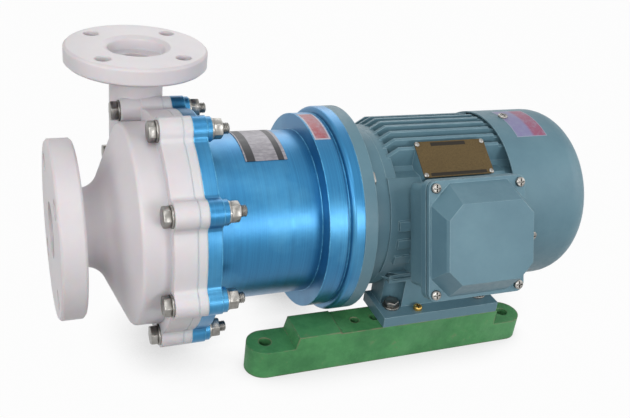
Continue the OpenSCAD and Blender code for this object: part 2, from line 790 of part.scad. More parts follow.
module shaft_key() color("#8d9096") at_shaft()
    translate([key_x, -key_w / 2, shaft_d / 2 - key_depth]) cube([key_len, key_w, key_h]);

module rotor_core() color("#8a8d92") at_shaft() {
    air_gap = 0.4;
    half = core_len / 2;
    end_ring = 8;
    ring(core_mid - half, core_mid + half, gap_d / 2 - air_gap, core_seat_d / 2 + seat_gap);
    ring(core_mid - half - end_ring, core_mid - half, gap_d / 2 - 2, gap_d / 2 - 12);
    ring(core_mid + half, core_mid + half + end_ring, gap_d / 2 - 2, gap_d / 2 - 12);
}

module fan() color("#4a4d50") at_shaft() {
    disc_t = 3;
    disc_x = fan_x + 2;
    hub_r = fan_seat_d / 2 + 6;
    blade_t = 3;
    blade_w = 22;
    ring(fan_x, fan_x + fan_hub_len, hub_r, fan_seat_d / 2 + seat_gap);
    ring(disc_x, disc_x + disc_t, fan_d / 2 - 8, hub_r - 1);
    about_shaft([for (i = [0:fan_blades - 1]) i * 360 / fan_blades])
        translate([disc_x, -blade_t / 2, hub_r - 1]) cube([blade_w, blade_t, fan_d / 2 - hub_r + 1]);
}

module fan_circlip() color(steel) at_shaft()
    ring(clip_x + seat_gap, clip_x + clip_groove - seat_gap, fan_seat_d / 2 + 2.5,
        fan_seat_d / 2 - clip_depth + seat_gap);

// The flat outline of the bolted joint, round with a boss at each bolt
module joint_outline(boss, round_d) {
    fillet = 8;
    fillet_ease = 0.4;
    bolt_r = bolt_pcd / 2;
    round_reach = round_d / 2 + fillet;
    boss_reach = boss / 2 + fillet;
    turn = acos((pow(round_reach, 2) + pow(bolt_r, 2) - pow(boss_reach, 2)) / (2 * round_reach * bolt_r));
    circle(d = round_d);
    for (a = bolt_angles) rotate(a) {
        translate([bolt_r, 0]) circle(d = boss);
        for (side = [-1, 1]) difference() {
            polygon([[0, 0], [bolt_r, 0], round_reach * [cos(turn), side * sin(turn)]]);
            rotate(side * turn) translate([round_reach, 0]) circle(fillet + fillet_ease);
        }
    }
}

// A plate of that outline along the shaft
module joint_plate(x0, x1, boss = boss_d, round_d = joint_d)
    translate([x0, 0, 0]) rotate([0, 90, 0]) linear_extrude(x1 - x0) joint_outline(boss, round_d);

// The through holes of the casing bolts
module joint_holes(x0, x1) about_shaft(bolt_angles) rod(x0, x1, bolt_d + bolt_gap, bolt_pcd / 2);

module bracket() color(blue_paint) at_shaft() {
    barrel_r = barrel_d / 2;
    shoulder_r = shoulder_d / 2;
    band_r = band_d / 2;
    round_r = shoulder_r - barrel_r;
    band_x = -ring_w - band_w;
    step_x = band_x - shoulder_w;
    edge_r = 4;
    groove = 2;
    flange_back = flange_front + bracket_flange_t;
    difference() {
        union() {
            spin(concat([[flange_back - 1, 0], [flange_back - 1, barrel_r + 3], [flange_back, barrel_r + 3],
                [flange_back + 3, barrel_r]],
                arc([step_x + round_r, barrel_r], round_r, 180, 90), [[band_x, shoulder_r]],
                [[band_x + 2, band_r], [-ring_w - groove, band_r], [-ring_w - groove, band_r - groove],
                    [-ring_w, band_r - groove]],
                arc([-ring_w + edge_r, flange_d / 2 - edge_r], edge_r, 180, 90),
                [[0, flange_d / 2], [0, 0]]));
            joint_plate(flange_front, flange_back);
            about_shaft(bolt_angles) rod(flange_front, flange_back + ear_extra, boss_d - 2, bolt_pcd / 2);
        }
        ring(flange_front - 1, -bracket_plate_t, barrel_r - barrel_wall);
        ring(-bracket_plate_t - 1, 1, spigot_d / 2);
        joint_holes(flange_front - 1, flange_back + ear_extra + 1);
        about_shaft(flange_bolt_angles)
            rod(-bracket_plate_t - 1, 1, flange_bolt_d + 2 * seat_gap, flange_pcd / 2);
    }
}

module bracket_label() color("#c4c8cc") at_shaft() difference() {
    ring(label_x - label_len / 2, label_x + label_len / 2, barrel_d / 2 + label_t, barrel_d / 2);
    rotate([label_turn + label_span / 2, 0, 0]) translate([label_x - label_len, -barrel_d, -barrel_d])
        cube([2 * label_len, barrel_d, 2 * barrel_d]);
    rotate([label_turn - label_span / 2, 0, 0]) translate([label_x - label_len, 0, -barrel_d])
        cube([2 * label_len, barrel_d, 2 * barrel_d]);
}

module flange_bolts() color(steel) at_shaft() about_shaft(flange_bolt_angles) {
    rod(-bracket_plate_t + 1, flange_t + eps, flange_bolt_d, flange_pcd / 2);
    hex(flange_t, flange_t + 0.65 * flange_bolt_d, 1.6 * flange_bolt_d, flange_pcd / 2);
}

// Drilled pipe flange with its mouth up, its face at height zero
module flange_holes(pcd, d, t)
    for (a = [45:90:315]) rotate(a) translate([pcd / 2, 0, -t - 1]) cylinder(h = t + 2, d = d);

module casing_outside() {
    drum_r = drum_d / 2;
    neck_r = neck_d / 2;
    edge_r = 4;
    edge_x = drum_x + 9;
    sweep_r = 20;
    sweep_end = 335;
    collar = 3;
    chamfer = 2;
    flange_back = suction_x + suction_t;
    spin(concat(
        [[suction_x, 0], [suction_x, suction_d / 2 - chamfer], [suction_x + chamfer, suction_d / 2],
            [flange_back - chamfer, suction_d / 2], [flange_back, suction_d / 2 - chamfer]],
        arc([flange_back + collar, neck_r + collar], collar, 180, 270, 4),
        arc([flange_back + collar, neck_r + sweep_r], sweep_r, 270, sweep_end),
        arc([edge_x, drum_r - edge_r], edge_r, sweep_end - 180, 90),
        [[joint_x, drum_r], [joint_x, 0]]));
    joint_plate(boss_seat, joint_x);
    about_shaft(long_angles) rod(long_seat, joint_x, boss_d - 2, bolt_pcd / 2);
    at_discharge() discharge_outside();
}

// The discharge leaves the drum on a tangent, on the side away from the terminal box
module at_discharge() translate([discharge_x, discharge_off, 0]) children();

module discharge_outside() {
    chamfer = 2;
    collar = 4;
    r = discharge_d / 2;
    riser_r = riser_d / 2;
    low = discharge_h - discharge_t;
    rotate_extrude() polygon(concat(
        arc([0, 0], riser_r, -90, 0),
        arc([riser_r + collar, low - collar], collar, 180, 90, 4),
        [[r - chamfer, low], [r, low + chamfer], [r, discharge_h - chamfer], [r - chamfer, discharge_h],
            [0, discharge_h]]));
}

// The wetted space of the casing
module casing_inside() {
    bore_r = suction_bore / 2;
    chamber_r = drum_d / 2 - drum_wall;
    spin([[suction_x - 1, 0], [suction_x - 1, bore_r], [support_x - support_lip, bore_r],
        [support_x, bore_r + 2], [support_x, support_r + seat_gap], [chamber_x, support_r + seat_gap],
        [chamber_x, chamber_r], [joint_x + 1, chamber_r], [joint_x + 1, 0]]);
    mouth_depth = 12;
    bevel = 2.5;
    throat_r = discharge_bore / 2 + 1;
    throat_top = 1 + sqrt(pow(chamber_r, 2) - pow(discharge_off - throat_r, 2));
    at_discharge() {
        cylinder(h = discharge_h, d = discharge_bore);
        cylinder(h = throat_top, r = throat_r);
        translate([0, 0, discharge_h - mouth_depth]) cylinder(h = mouth_depth + 1, d = mouth_d);
        translate([0, 0, discharge_h - bevel])
            cylinder(h = bevel + eps, d1 = mouth_d, d2 = mouth_d + 4 * bevel);
    }
}

module pump_casing() color(white_plastic) at_shaft() difference() {
    casing_outside();
    casing_inside();
    joint_holes(long_seat - 1, joint_x + 1);
    about_shaft(long_angles) rod(drum_x - 5, long_seat, 2.1 * bolt_d, bolt_pcd / 2);
    joint_plate(joint_x, flange_front + bracket_flange_t, boss_d + 1, joint_d + 1);
    translate([suction_x, 0, 0]) rotate([0, -90, 0]) flange_holes(suction_pcd, suction_hole_d, suction_t);
    at_discharge() translate([0, 0, discharge_h]) flange_holes(discharge_pcd, discharge_hole_d, discharge_t);
}

module containment_shell() color(white_plastic) at_shaft() {
    can_r = can_d / 2;
    floor_x = can_end - can_floor;
    spigot = 5;
    difference() {
        union() {
            joint_plate(joint_x, flange_front);
            ring(flange_front - eps, flange_front + spigot, barrel_d / 2 - barrel_wall - seat_gap);
            ring(joint_x, can_end, can_ro);
        }
        ring(joint_x - 1, floor_x, can_r);
        ring(floor_x - 1, floor_x + pin_socket, pin_d / 2 + seat_gap);
        ring(flange_front, flange_front + spigot + 1, barrel_d / 2 - barrel_wall - 6, can_ro);
        ring(joint_x - 1, joint_x + seal_groove, seal_r + seal_w, seal_r);
        joint_holes(joint_x - 1, flange_front + 1);
    }
}

module casing_seal() color("#26282a") at_shaft()
    ring(joint_x, joint_x + seal_groove, seal_r + seal_w - seat_gap, seal_r + seat_gap);

// One casing bolt under a head seat, long enough for its washer and nut
module casing_bolt(seat_x) {
    head_h = 0.65 * bolt_d;
    hex(seat_x - washer_t - head_h, seat_x - washer_t, bolt_hex, bolt_pcd / 2);
    rod(seat_x - washer_t - eps, ear_back + washer_t + nut_h + bolt_end, bolt_d, bolt_pcd / 2);
}

module casing_bolts() color(steel) at_shaft() {
    about_shaft(short_angles) casing_bolt(boss_seat);
    about_shaft(long_angles) casing_bolt(long_seat);
}

// One washer with its flat face at a place along the shaft
module casing_washer(x) translate([x, 0, bolt_pcd / 2]) rotate([0, 90, 0]) rotate_extrude()
    translate([bolt_d / 2 + bolt_gap / 4, 0]) square([0.45 * bolt_d, washer_t]);

module casing_washers() color(steel) at_shaft() {
    about_shaft(bolt_angles) casing_washer(ear_back);
    about_shaft(short_angles) casing_washer(boss_seat - washer_t);
    about_shaft(long_angles) casing_washer(long_seat - washer_t);
}

module casing_nuts() color(steel) at_shaft() about_shaft(bolt_angles) difference() {
    hex(ear_back + washer_t, ear_back + washer_t + nut_h, bolt_hex, bolt_pcd / 2);
    rod(ear_back + washer_t - 1, ear_back + washer_t + nut_h + 1, bolt_d + 2 * seat_gap, bolt_pcd / 2);
}

module pump_pin() color("#d8cfc0") at_shaft()
    ring(pin_start, can_end - can_floor + pin_socket - axial_play, pin_d / 2);

module pin_support() color(white_plastic) at_shaft() {
    hub = pin_d / 2 + 5;
    rib_t = 5;
    ring_t = 3.5;
    nose = 8;
    difference() {
        union() {
            ring(support_x, support_x + support_len, support_r, support_r - ring_t);
            ring(support_x, support_x + support_len, hub);
            spin([[support_x - nose, 0], [support_x - nose, nose / 2], [support_x, hub],
                [support_x + eps, hub], [support_x + eps, 0]]);
            about_shaft([0, 120, 240]) translate([support_x, -rib_t / 2, 0])
                cube([support_len, rib_t, support_r - ring_t + 0.5]);
        }
        ring(pin_start, support_x + support_len + 1, pin_d / 2 + seat_gap);
    }
}

module thrust_ring() color("#55585c") at_shaft()
    ring(support_x + support_len, support_x + support_len + thrust_t, bush_r, pin_d / 2 + seat_gap);

module vanes() {
    tip_r = impeller_d / 2 - 0.5;
    root_r = impeller_hub_r - 0.5;
    camber = 0.66 * impeller_d / 2;
    translate([impeller_x + shroud_t - eps, 0, 0]) rotate([0, 90, 0]) linear_extrude(vane_w + 2 * eps)
        for (i = [0:vane_count - 1]) rotate(i * 360 / vane_count) intersection() {
            difference() {
                circle(r = tip_r);
                circle(r = root_r + 3);
            }
            translate([0, -camber]) difference() {
                circle(r = camber + 4);
                circle(r = camber + 1);
            }
            translate([0, -impeller_d]) square([impeller_d, 2 * impeller_d]);
        }
}

module impeller() color("#d9d7d9") at_shaft() {
    r = impeller_d / 2;
    ring(impeller_x, impeller_x + shroud_t, r, eye_r);
    ring(impeller_x - 4, impeller_x + eps, eye_r + eye_wall, eye_r);
    vanes();
    ring(impeller_back - back_plate_t, impeller_back, r, bush_r + seat_gap);
    spin([[impeller_x + shroud_t, bush_r + seat_gap], [impeller_x + shroud_t, bush_r + 2],
        [impeller_back - back_plate_t, impeller_hub_r], [inner_front + eps, impeller_hub_r],
        [inner_front + eps, bush_r + seat_gap]]);
    ring(inner_front, inner_front + inner_disc_t, capsule_r, bush_r + seat_gap);
}

module impeller_bush() color("#3b3c40") at_shaft() ring(bush_x, capsule_end, bush_r, pin_d / 2 + run_gap);

module inner_yoke() color("#7d8085") at_shaft()
    ring(inner_front + inner_disc_t, capsule_end - capsule_wall, yoke_r, bush_r + seat_gap);

// A ring of magnets with narrow gaps between them
module magnet_ring(ri, ro) difference() {
    ring(magnet_x, magnet_x + magnet_len, ro, ri);
    about_shaft([for (i = [0:magnet_count - 1]) i * 360 / magnet_count])
        translate([magnet_x - 1, -0.75, 0]) cube([magnet_len + 2, 1.5, ro + 1]);
}

module inner_magnets() color("#4c4f55") at_shaft()
    magnet_ring(yoke_r + seat_gap, yoke_r + seat_gap + magnet_t);

module inner_capsule() color("#d9d7d9") at_shaft() {
    ring(inner_front + inner_disc_t, capsule_end - capsule_wall + eps, capsule_r, capsule_r - capsule_wall);
    ring(capsule_end - capsule_wall, capsule_end, capsule_r, bush_r + seat_gap);
}

module magnet_carrier() color("#6c6f74") at_shaft() {
    hub_end = -bracket_plate_t - 1;
    hub_or = shaft_d / 2 + 12;
    difference() {
        union() {
            ring(carrier_mouth, carrier_disc_x + carrier_disc_t, carrier_ro,
                magnet_in_r + magnet_t + seat_gap);
            ring(carrier_disc_x, carrier_disc_x + carrier_disc_t, carrier_ro - 1);
            ring(carrier_disc_x + carrier_disc_t - eps, hub_end, hub_or);
        }
        ring(-shaft_ext, hub_end + 1, shaft_d / 2 + seat_gap);
        ring(carrier_disc_x - 1, -shaft_ext + 1, end_screw_d / 2 + 0.5);
        ring(carrier_disc_x - 1, carrier_disc_x + screw_head_h, screw_head_r + 0.5);
        translate([-shaft_ext, -key_w / 2 - seat_gap, 0])
            cube([hub_end + shaft_ext + 1, key_w + 2 * seat_gap, shaft_d / 2 - key_depth + key_h + seat_gap]);
    }
}

module outer_magnets() color("#4c4f55") at_shaft() magnet_ring(magnet_in_r, magnet_in_r + magnet_t);

module carrier_screw() color(steel) at_shaft() {
    ring(carrier_disc_x, carrier_disc_x + screw_head_h, screw_head_r);
    ring(carrier_disc_x + screw_head_h - eps, -shaft_ext + end_screw_reach, end_screw_d / 2);
}

base_rail_near();
base_rail_far();
foot_bolts();
foot_washers();
motor_frame();
front_end_shield();
rear_end_shield();
shield_screws();
fan_cowl();
cowl_screws();
motor_nameplate();
nameplate_rivets();
earth_screw();
terminal_box();
terminal_seal();
terminal_cover();
terminal_screws();
terminal_block();
terminal_studs();
cable_gland();
stator_core();
stator_windings();
bearing_outer_rings();
bearing_balls();
bracket();
bracket_label();
flange_bolts();
pump_casing();
containment_shell();
casing_seal();
casing_bolts();
casing_washers();
casing_nuts();
pump_pin();
pin_support();
thrust_ring();
motor_shaft();
rotor_core();
shaft_key();
bearing_inner_rings();
fan();
fan_circlip();
magnet_carrier();
outer_magnets();
carrier_screw();
impeller();
impeller_bush();
inner_yoke();
inner_magnets();
inner_capsule();
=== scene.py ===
"""Dressed scene of a magnetic drive pump: finishes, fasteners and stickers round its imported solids."""
import json
import logging
import math
from dataclasses import dataclass
from enum import Enum
from typing import Any, Iterable, Optional, Sequence, Union

import bmesh
import bpy
from mathutils import Matrix, Vector


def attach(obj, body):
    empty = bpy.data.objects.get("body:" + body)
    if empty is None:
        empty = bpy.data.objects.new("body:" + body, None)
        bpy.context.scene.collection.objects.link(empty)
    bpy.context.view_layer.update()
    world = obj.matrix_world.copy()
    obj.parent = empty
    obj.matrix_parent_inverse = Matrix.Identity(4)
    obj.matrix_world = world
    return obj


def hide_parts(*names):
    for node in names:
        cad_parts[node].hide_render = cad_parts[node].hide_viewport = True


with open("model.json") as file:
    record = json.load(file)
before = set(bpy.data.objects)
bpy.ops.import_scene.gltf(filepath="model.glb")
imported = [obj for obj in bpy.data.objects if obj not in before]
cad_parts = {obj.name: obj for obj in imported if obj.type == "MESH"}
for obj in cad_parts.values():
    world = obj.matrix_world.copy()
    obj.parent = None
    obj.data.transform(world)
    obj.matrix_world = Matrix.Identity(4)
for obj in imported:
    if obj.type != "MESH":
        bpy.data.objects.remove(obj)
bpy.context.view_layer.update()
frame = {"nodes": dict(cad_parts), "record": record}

LOG = logging.getLogger("pump")
MM = 0.001
SHAFT = Vector((-0.060, 0.0, 0.130))
BODY = "pump"

# How far from its place a point still counts as there, in millimetres
FINE = 0.01
SLACK = 0.05
# A hair's breadth, by which a shank runs into its head and a sticker clears its seat
HAIR = 0.02
# Air between a shank and its washer
HOLE_AIR = 0.25
# Turns that point a shape's z axis along the shaft
TO_MOTOR = Matrix.Rotation(math.radians(90.0), 4, "Y")
TO_PUMP = Matrix.Rotation(math.radians(-90.0), 4, "Y")

Socket = bpy.types.NodeSocket
Colour = tuple[float, float, float]
Feed = Union[Socket, float, Sequence[float]]
Outline = Sequence[tuple[float, float]]


def srgb(red: int, green: int, blue: int) -> Colour:
    """Turns a colour as seen on a screen into a scene colour.

    Args:
        red: Red, from 0 to 255.
        green: Green, from 0 to 255.
        blue: Blue, from 0 to 255.

    Returns:
        The linear colour.
    """
    parts = [channel / 255.0 for channel in (red, green, blue)]
    return tuple(c / 12.92 if c <= 0.04045 else ((c + 0.055) / 1.055) ** 2.4 for c in parts)


def dimmed(colour: Colour, share: float) -> Colour:
    """Gives a darker colour, as a share of the given one."""
    return tuple(channel * share for channel in colour)


class Graph:
    """The node tree of one material, round a single principled shader."""

    SAMPLES: int = 8

    def __init__(self, name: str) -> None:
        """Starts an empty tree.

        Args:
            name: Name of the material.
        """
        self.material = bpy.data.materials.new(name)
        self.material.use_nodes = True
        self.tree = self.material.node_tree
        self.tree.nodes.clear()
        self.shader = self.tree.nodes.new("ShaderNodeBsdfPrincipled")
        output = self.tree.nodes.new("ShaderNodeOutputMaterial")
        self.tree.links.new(self.shader.outputs[0], output.inputs["Surface"])
        self.place = self.add("ShaderNodeTexCoord").outputs["Object"]

    def add(self, kind: str, **settings: Any) -> bpy.types.Node:
        """Adds a node.

        Args:
            kind: Blender's name of the node type.
            settings: Properties of the node.

        Returns:
            The node.
        """
        node = self.tree.nodes.new(kind)
        for key, value in settings.items():
            setattr(node, key, value)
        return node

    def feed(self, socket: Socket, value: Feed) -> None:
        """Links a socket to another, or sets its value.

        Args:
            socket: The input to fill.
            value: An output socket, a number or a vector.
        """
        if isinstance(value, bpy.types.NodeSocket):
            self.tree.links.new(value, socket)
        elif socket.type == "RGBA" and not isinstance(value, (int, float)):
            socket.default_value = (*value[:3], 1.0)
        else:
            socket.default_value = value

    def set(self, **inputs: Feed) -> None:
        """Fills inputs of the shader.

        Args:
            inputs: Values by the inputs' names, with underscores for spaces.
        """
        for key, value in inputs.items():
            self.feed(self.shader.inputs[key.replace("_", " ")], value)

    def math(self, operation: str, a: Feed, b: Feed = 0.0, clamp: bool = False) -> Socket:
        """Adds one sum.

        Args:
            operation: Blender's name of the operation.
            a: First value.
            b: Second value.
            clamp: Whether the result is held between 0 and 1.

        Returns:
            The result.
        """
        node = self.add("ShaderNodeMath", operation=operation, use_clamp=clamp)
        self.feed(node.inputs[0], a)
        self.feed(node.inputs[1], b)
        return node.outputs[0]

    def times(self, a: Feed, b: Feed) -> Socket:
        """Gives the product of two values."""
        return self.math("MULTIPLY", a, b)

    def span(self, value: Feed, low: float, high: float, start: float = 0.0, end: float = 1.0) -> Socket:
        """Maps a range of a value onto another range, and clamps it.

        Args:
            value: The value to map.
            low: Where the range starts.
            high: Where the range ends.
            start: Result at the start.
            end: Result at the end.

        Returns:
            The mapped value.
        """
        node = self.add("ShaderNodeMapRange", clamp=True)
        for socket, item in zip(node.inputs, (value, low, high, start, end)):
            self.feed(socket, item)
        return node.outputs[0]

    def mix(self, factor: Feed, a: Feed, b: Feed) -> Socket:
        """Mixes two colours.

        Args:
            factor: Share of the second colour.
            a: First colour.
            b: Second colour.

        Returns:
            The mixed colour.
        """
        node = self.add("ShaderNodeMix", data_type="RGBA")
        self.feed(node.inputs[0], factor)
        self.feed(node.inputs[6], a)
        self.feed(node.inputs[7], b)
        return node.outputs[2]

    def noise(self, scale: float, detail: float = 4.0, rough: float = 0.55,
              where: Optional[Socket] = None) -> Socket:
        """Adds a cloudy noise.

        Args:
            scale: Lumps in a metre.
            detail: Finer layers.
            rough: Weight of the finer layers.
            where: Coordinates, or the piece's own.

        Returns:
            The noise, about 0.5 in the middle.
        """
        node = self.add("ShaderNodeTexNoise")
        self.feed(node.inputs["Vector"], where or self.place)
        node.inputs["Scale"].default_value = scale
        node.inputs["Detail"].default_value = detail
        node.inputs["Roughness"].default_value = rough
        return node.outputs[0]

    def stretched(self, scale: Sequence[float], turn: Sequence[float] = (0.0, 0.0, 0.0)) -> Socket:
        """Gives the piece's coordinates scaled along each axis, for lines and grain.

        Args:
            scale: Scale along x, y and z.
            turn: Turn about x, y and z, in radians.

        Returns:
            The coordinates.
        """
        node = self.add("ShaderNodeMapping")
        self.feed(node.inputs["Vector"], self.place)
        node.inputs["Scale"].default_value = scale
        node.inputs["Rotation"].default_value = turn
        return node.outputs[0]

    def along(self, direction: Sequence[float], origin: Sequence[float]) -> Socket:
        """Gives the distance of each point from an origin along a direction.

        Args:
            direction: Unit direction.
            origin: A point, in metres.

        Returns:
            The distance, in millimetres.
        """
        away = self.add("ShaderNodeVectorMath", operation="SUBTRACT")
        self.feed(away.inputs[0], self.place)
        away.inputs[1].default_value = origin
        node = self.add("ShaderNodeVectorMath", operation="DOT_PRODUCT")
        self.feed(node.inputs[0], away.outputs[0])
        node.inputs[1].default_value = [c / MM for c in direction]
        return node.outputs["Value"]

    def band(self, value: Socket, low: float, high: float, soft: float = 0.2) -> Socket:
        """Gives 1 inside a range of a value and 0 outside it.

        Args:
            value: The value.
            low: Where the band starts.
            high: Where the band ends.
            soft: Width of its edges.

        Returns:
            The mask.
        """
        start = self.span(value, low - soft, low + soft)
        return self.times(start, self.span(value, high - soft, high + soft, 1.0, 0.0))

    def rounded(self, radius: float) -> Socket:
        """Gives normals that round the edges.

        Args:
            radius: Radius of the edges, in metres.

        Returns:
            The normals.
        """
        node = self.add("ShaderNodeBevel", samples=self.SAMPLES)
        node.inputs["Radius"].default_value = radius
        return node.outputs[0]

    def edges(self, radius: float, gain: float) -> Socket:
        """Gives a mask of the edges, where paint wears.

        Args:
            radius: How far from an edge it reaches, in metres.
            gain: How strong it is.

        Returns:
            The mask.
        """
        node = self.add("ShaderNodeVectorMath", operation="DOT_PRODUCT")
        self.feed(node.inputs[0], self.rounded(radius))
        self.feed(node.inputs[1], self.add("ShaderNodeNewGeometry").outputs["Normal"])
        return self.math("MULTIPLY", self.math("SUBTRACT", 1.0, node.outputs["Value"]), gain, clamp=True)

    def hollows(self, reach: float) -> Socket:
        """Gives a mask of the hollows from ambient occlusion, used for grime and painted shade on the
        finishes and for the floor's painted contact shadow.

        Args:
            reach: How far a wall counts, in metres.

        Returns:
            The mask.
        """
        node = self.add("ShaderNodeAmbientOcclusion", samples=self.SAMPLES, only_local=False)
        node.inputs["Distance"].default_value = reach
        return self.math("SUBTRACT", 1.0, node.outputs["AO"])

    def bump(self, height: Socket, strength: float, depth: float, normal: Optional[Socket] = None) -> Socket:
        """Raises the surface by a height.

        Args:
            height: Height, from 0 to 1.
            strength: Share of the bump.
            depth: Depth in metres.
            normal: Normals below it.

        Returns:
            The normals.
        """
        node = self.add("ShaderNodeBump")
        node.inputs["Strength"].default_value = strength
        node.inputs["Distance"].default_value = depth
        self.feed(node.inputs["Height"], height)
        if normal is not None:
            self.feed(node.inputs["Normal"], normal)
        return node.outputs[0]


@dataclass(frozen=True)
class Finish:
    """A finish, which makes one material."""

    name: str

    def paint(self, g: Graph) -> None:
        """Fills the tree.

        Args:
            g: The material's node tree.

        Raises:
            NotImplementedError: If a finish has no tree of its own.
        """
        raise NotImplementedError(self.name)

    def build(self) -> bpy.types.Material:
        """Makes the material.

        Returns:
            The material.
        """
        g = Graph(self.name)
        self.paint(g)
        return g.material


@dataclass(frozen=True)
class MouldedPlastic(Finish):
    """Milky moulded plastic with soft edges, faint flow marks, and grime and painted shade darkening its
    hollows.
    """

    colour: Colour
    shade: Colour
    roughness: float = 0.4
    edge: float = 0.0022
    # How strongly grime and painted shade darken the hollows
    grime_and_shade_share: float = 0.35

    def paint(self, g: Graph) -> None:
        """Fills the tree.

        Args:
            g: The material's node tree.
        """
        flow = g.span(g.noise(14.0, 5.0, 0.6), 0.35, 0.7)
        tone = g.mix(g.times(flow, 0.35), self.colour, self.shade)
        # Grime and painted shade: hollows found by ambient occlusion are darkened towards a dimmed copy of
        # the shade colour.
        grime_and_shade = g.times(g.span(g.hollows(0.018), 0.25, 0.9), self.grime_and_shade_share)
        g.set(Base_Color=g.mix(grime_and_shade, tone, dimmed(self.shade, 0.62)))
        grain = g.noise(620.0, 4.0, 0.6)
        g.set(Roughness=g.span(grain, 0.2, 0.8, self.roughness - 0.06, self.roughness + 0.08))
        waves = g.bump(g.noise(45.0, 3.0), 0.12, 0.002, g.rounded(self.edge))
        g.set(Normal=g.bump(grain, 0.10, 0.0002, waves))
        g.set(Specular_IOR_Level=0.4, Subsurface_Weight=0.3, Subsurface_Scale=0.012)


@dataclass(frozen=True)
class TurnedPaint(Finish):
    """Satin paint over turned metal, with fine rings about the shaft and worn edges."""

    colour: Colour
    dark: Colour
    light: Colour
    roughness: float = 0.39
    metallic: float = 0.85

    def paint(self, g: Graph) -> None:
        """Fills the tree.

        Args:
            g: The material's node tree.
        """
        rings = g.noise(1.0, 5.0, 0.7, g.stretched((1100.0, 4.0, 4.0)))
        broad = g.noise(22.0, 4.0, 0.55)
        tone = g.mix(g.span(rings, 0.32, 0.70), self.dark, self.colour)
        tone = g.mix(g.times(g.span(broad, 0.45, 0.75), 0.25), tone, self.light)
        worn = g.times(g.edges(0.0016, 7.0), g.span(g.noise(160.0), 0.35, 0.6))
        tone = g.mix(g.times(worn, 0.7), tone, self.light)
        # Grime and painted shade: hollows found by ambient occlusion are darkened towards a dimmed copy of
        # the dark colour.
        grime_and_shade = g.times(g.span(g.hollows(0.012), 0.35, 0.95), 0.55)
        g.set(Base_Color=g.mix(grime_and_shade, tone, dimmed(self.dark, 0.35)))
        g.set(Roughness=g.span(rings, 0.3, 0.7, self.roughness - 0.07, self.roughness + 0.09))
        g.set(Metallic=self.metallic, Specular_IOR_Level=0.4, Coat_Weight=0.35, Coat_Roughness=0.3)
        g.set(Normal=g.bump(rings, 0.16, 0.0002, g.rounded(0.0014)))


@dataclass(frozen=True)
class MachinePaint(Finish):
    """Sprayed machine paint over a casting, paler on its worn edges, with grime and painted shade darkening
    the hollows between its fins.
    """

    colour: Colour
    dark: Colour
    light: Colour
    roughness: float = 0.45
    edge: float = 0.0009
    lumps: float = 240.0
    relief: float = 0.18

    def paint(self, g: Graph) -> None:
        """Fills the tree.

        Args:
            g: The material's node tree.
        """
        cloud = g.noise(17.0, 5.0, 0.6)
        tone = g.mix(g.span(cloud, 0.35, 0.68), self.dark, self.colour)
        edge = g.times(g.edges(self.edge * 1.4, 6.0), g.span(g.noise(120.0), 0.25, 0.55))
        tone = g.mix(g.times(edge, 0.6), tone, self.light)
        # Grime and painted shade: hollows found by ambient occlusion are darkened towards a dimmed copy of
        # the dark colour.
        grime_and_shade = g.times(g.span(g.hollows(0.010), 0.5, 0.98), 0.35)
        g.set(Base_Color=g.mix(grime_and_shade, tone, dimmed(self.dark, 0.35)))
        skin = g.noise(self.lumps, 5.0, 0.6)
        g.set(Roughness=g.span(skin, 0.3, 0.7, self.roughness - 0.08, self.roughness + 0.1))
        g.set(Specular_IOR_Level=0.4)
        g.set(Normal=g.bump(skin, self.relief, 0.0006, g.rounded(self.edge)))


@dataclass(frozen=True)
class CastPaint(Finish):
    """Thick paint on a rough sand casting, mottled, chipped and brown where it has worn."""

    colour: Colour
    dark: Colour
    pale: Colour
    bare: Colour

    def paint(self, g: Graph) -> None:
        """Fills the tree.

        Args:
            g: The material's node tree.
        """
        mottle = g.noise(38.0, 7.0, 0.68)
        blotch = g.noise(11.0, 4.0, 0.6)
        tone = g.mix(g.span(mottle, 0.36, 0.62), self.dark, self.colour)
        tone = g.mix(g.times(g.span(blotch, 0.52, 0.72), 0.45), tone, self.pale)
        chips = g.span(g.noise(75.0, 6.0, 0.7), 0.60, 0.68)
        edge = g.times(g.edges(0.0026, 8.0), g.span(g.noise(55.0, 5.0, 0.65), 0.42, 0.62))
        worn = g.math("MAXIMUM", g.times(edge, 0.8), g.times(chips, 0.28))
        tone = g.mix(worn, tone, self.bare)
        # Grime and painted shade: hollows found by ambient occlusion are darkened towards a dimmed copy of
        # the dark colour.
        grime_and_shade = g.times(g.span(g.hollows(0.02), 0.35, 0.95), 0.45)
        g.set(Base_Color=g.mix(grime_and_shade, tone, dimmed(self.dark, 0.3)))
        sand = g.noise(210.0, 7.0, 0.7)
        g.set(Roughness=g.span(sand, 0.3, 0.7, 0.46, 0.7), Specular_IOR_Level=0.4)
        heavy = g.bump(mottle, 0.35, 0.0016, g.rounded(0.0013))
        g.set(Normal=g.bump(sand, 0.45, 0.0007, heavy))


@dataclass(frozen=True)
class BareMetal(Finish):
    """Bare worked metal with fine scratches, stains and softened edges."""

    colour: Colour
    stain: Colour
    roughness: float = 0.32
    metallic: float = 1.0
    lines: Sequence[float] = (90.0, 700.0, 700.0)
    edge: float = 0.0005

    def paint(self, g: Graph) -> None:
        """Fills the tree.

        Args:
            g: The material's node tree.
        """
        scratch = g.noise(1.0, 4.0, 0.65, g.stretched(self.lines))
        stain = g.span(g.noise(130.0, 5.0, 0.6), 0.45, 0.75)
        tone = g.mix(g.times(stain, 0.6), self.colour, self.stain)
        # Grime and painted shade: hollows found by ambient occlusion are darkened towards a dimmed copy of
        # the stain colour.
        grime_and_shade = g.times(g.span(g.hollows(0.006), 0.4, 0.95), 0.6)
        g.set(Base_Color=g.mix(grime_and_shade, tone, dimmed(self.stain, 0.25)), Metallic=self.metallic)
        g.set(Roughness=g.span(scratch, 0.3, 0.7, self.roughness - 0.08, self.roughness + 0.12))
        g.set(Normal=g.bump(scratch, 0.12, 0.0002, g.rounded(self.edge)))


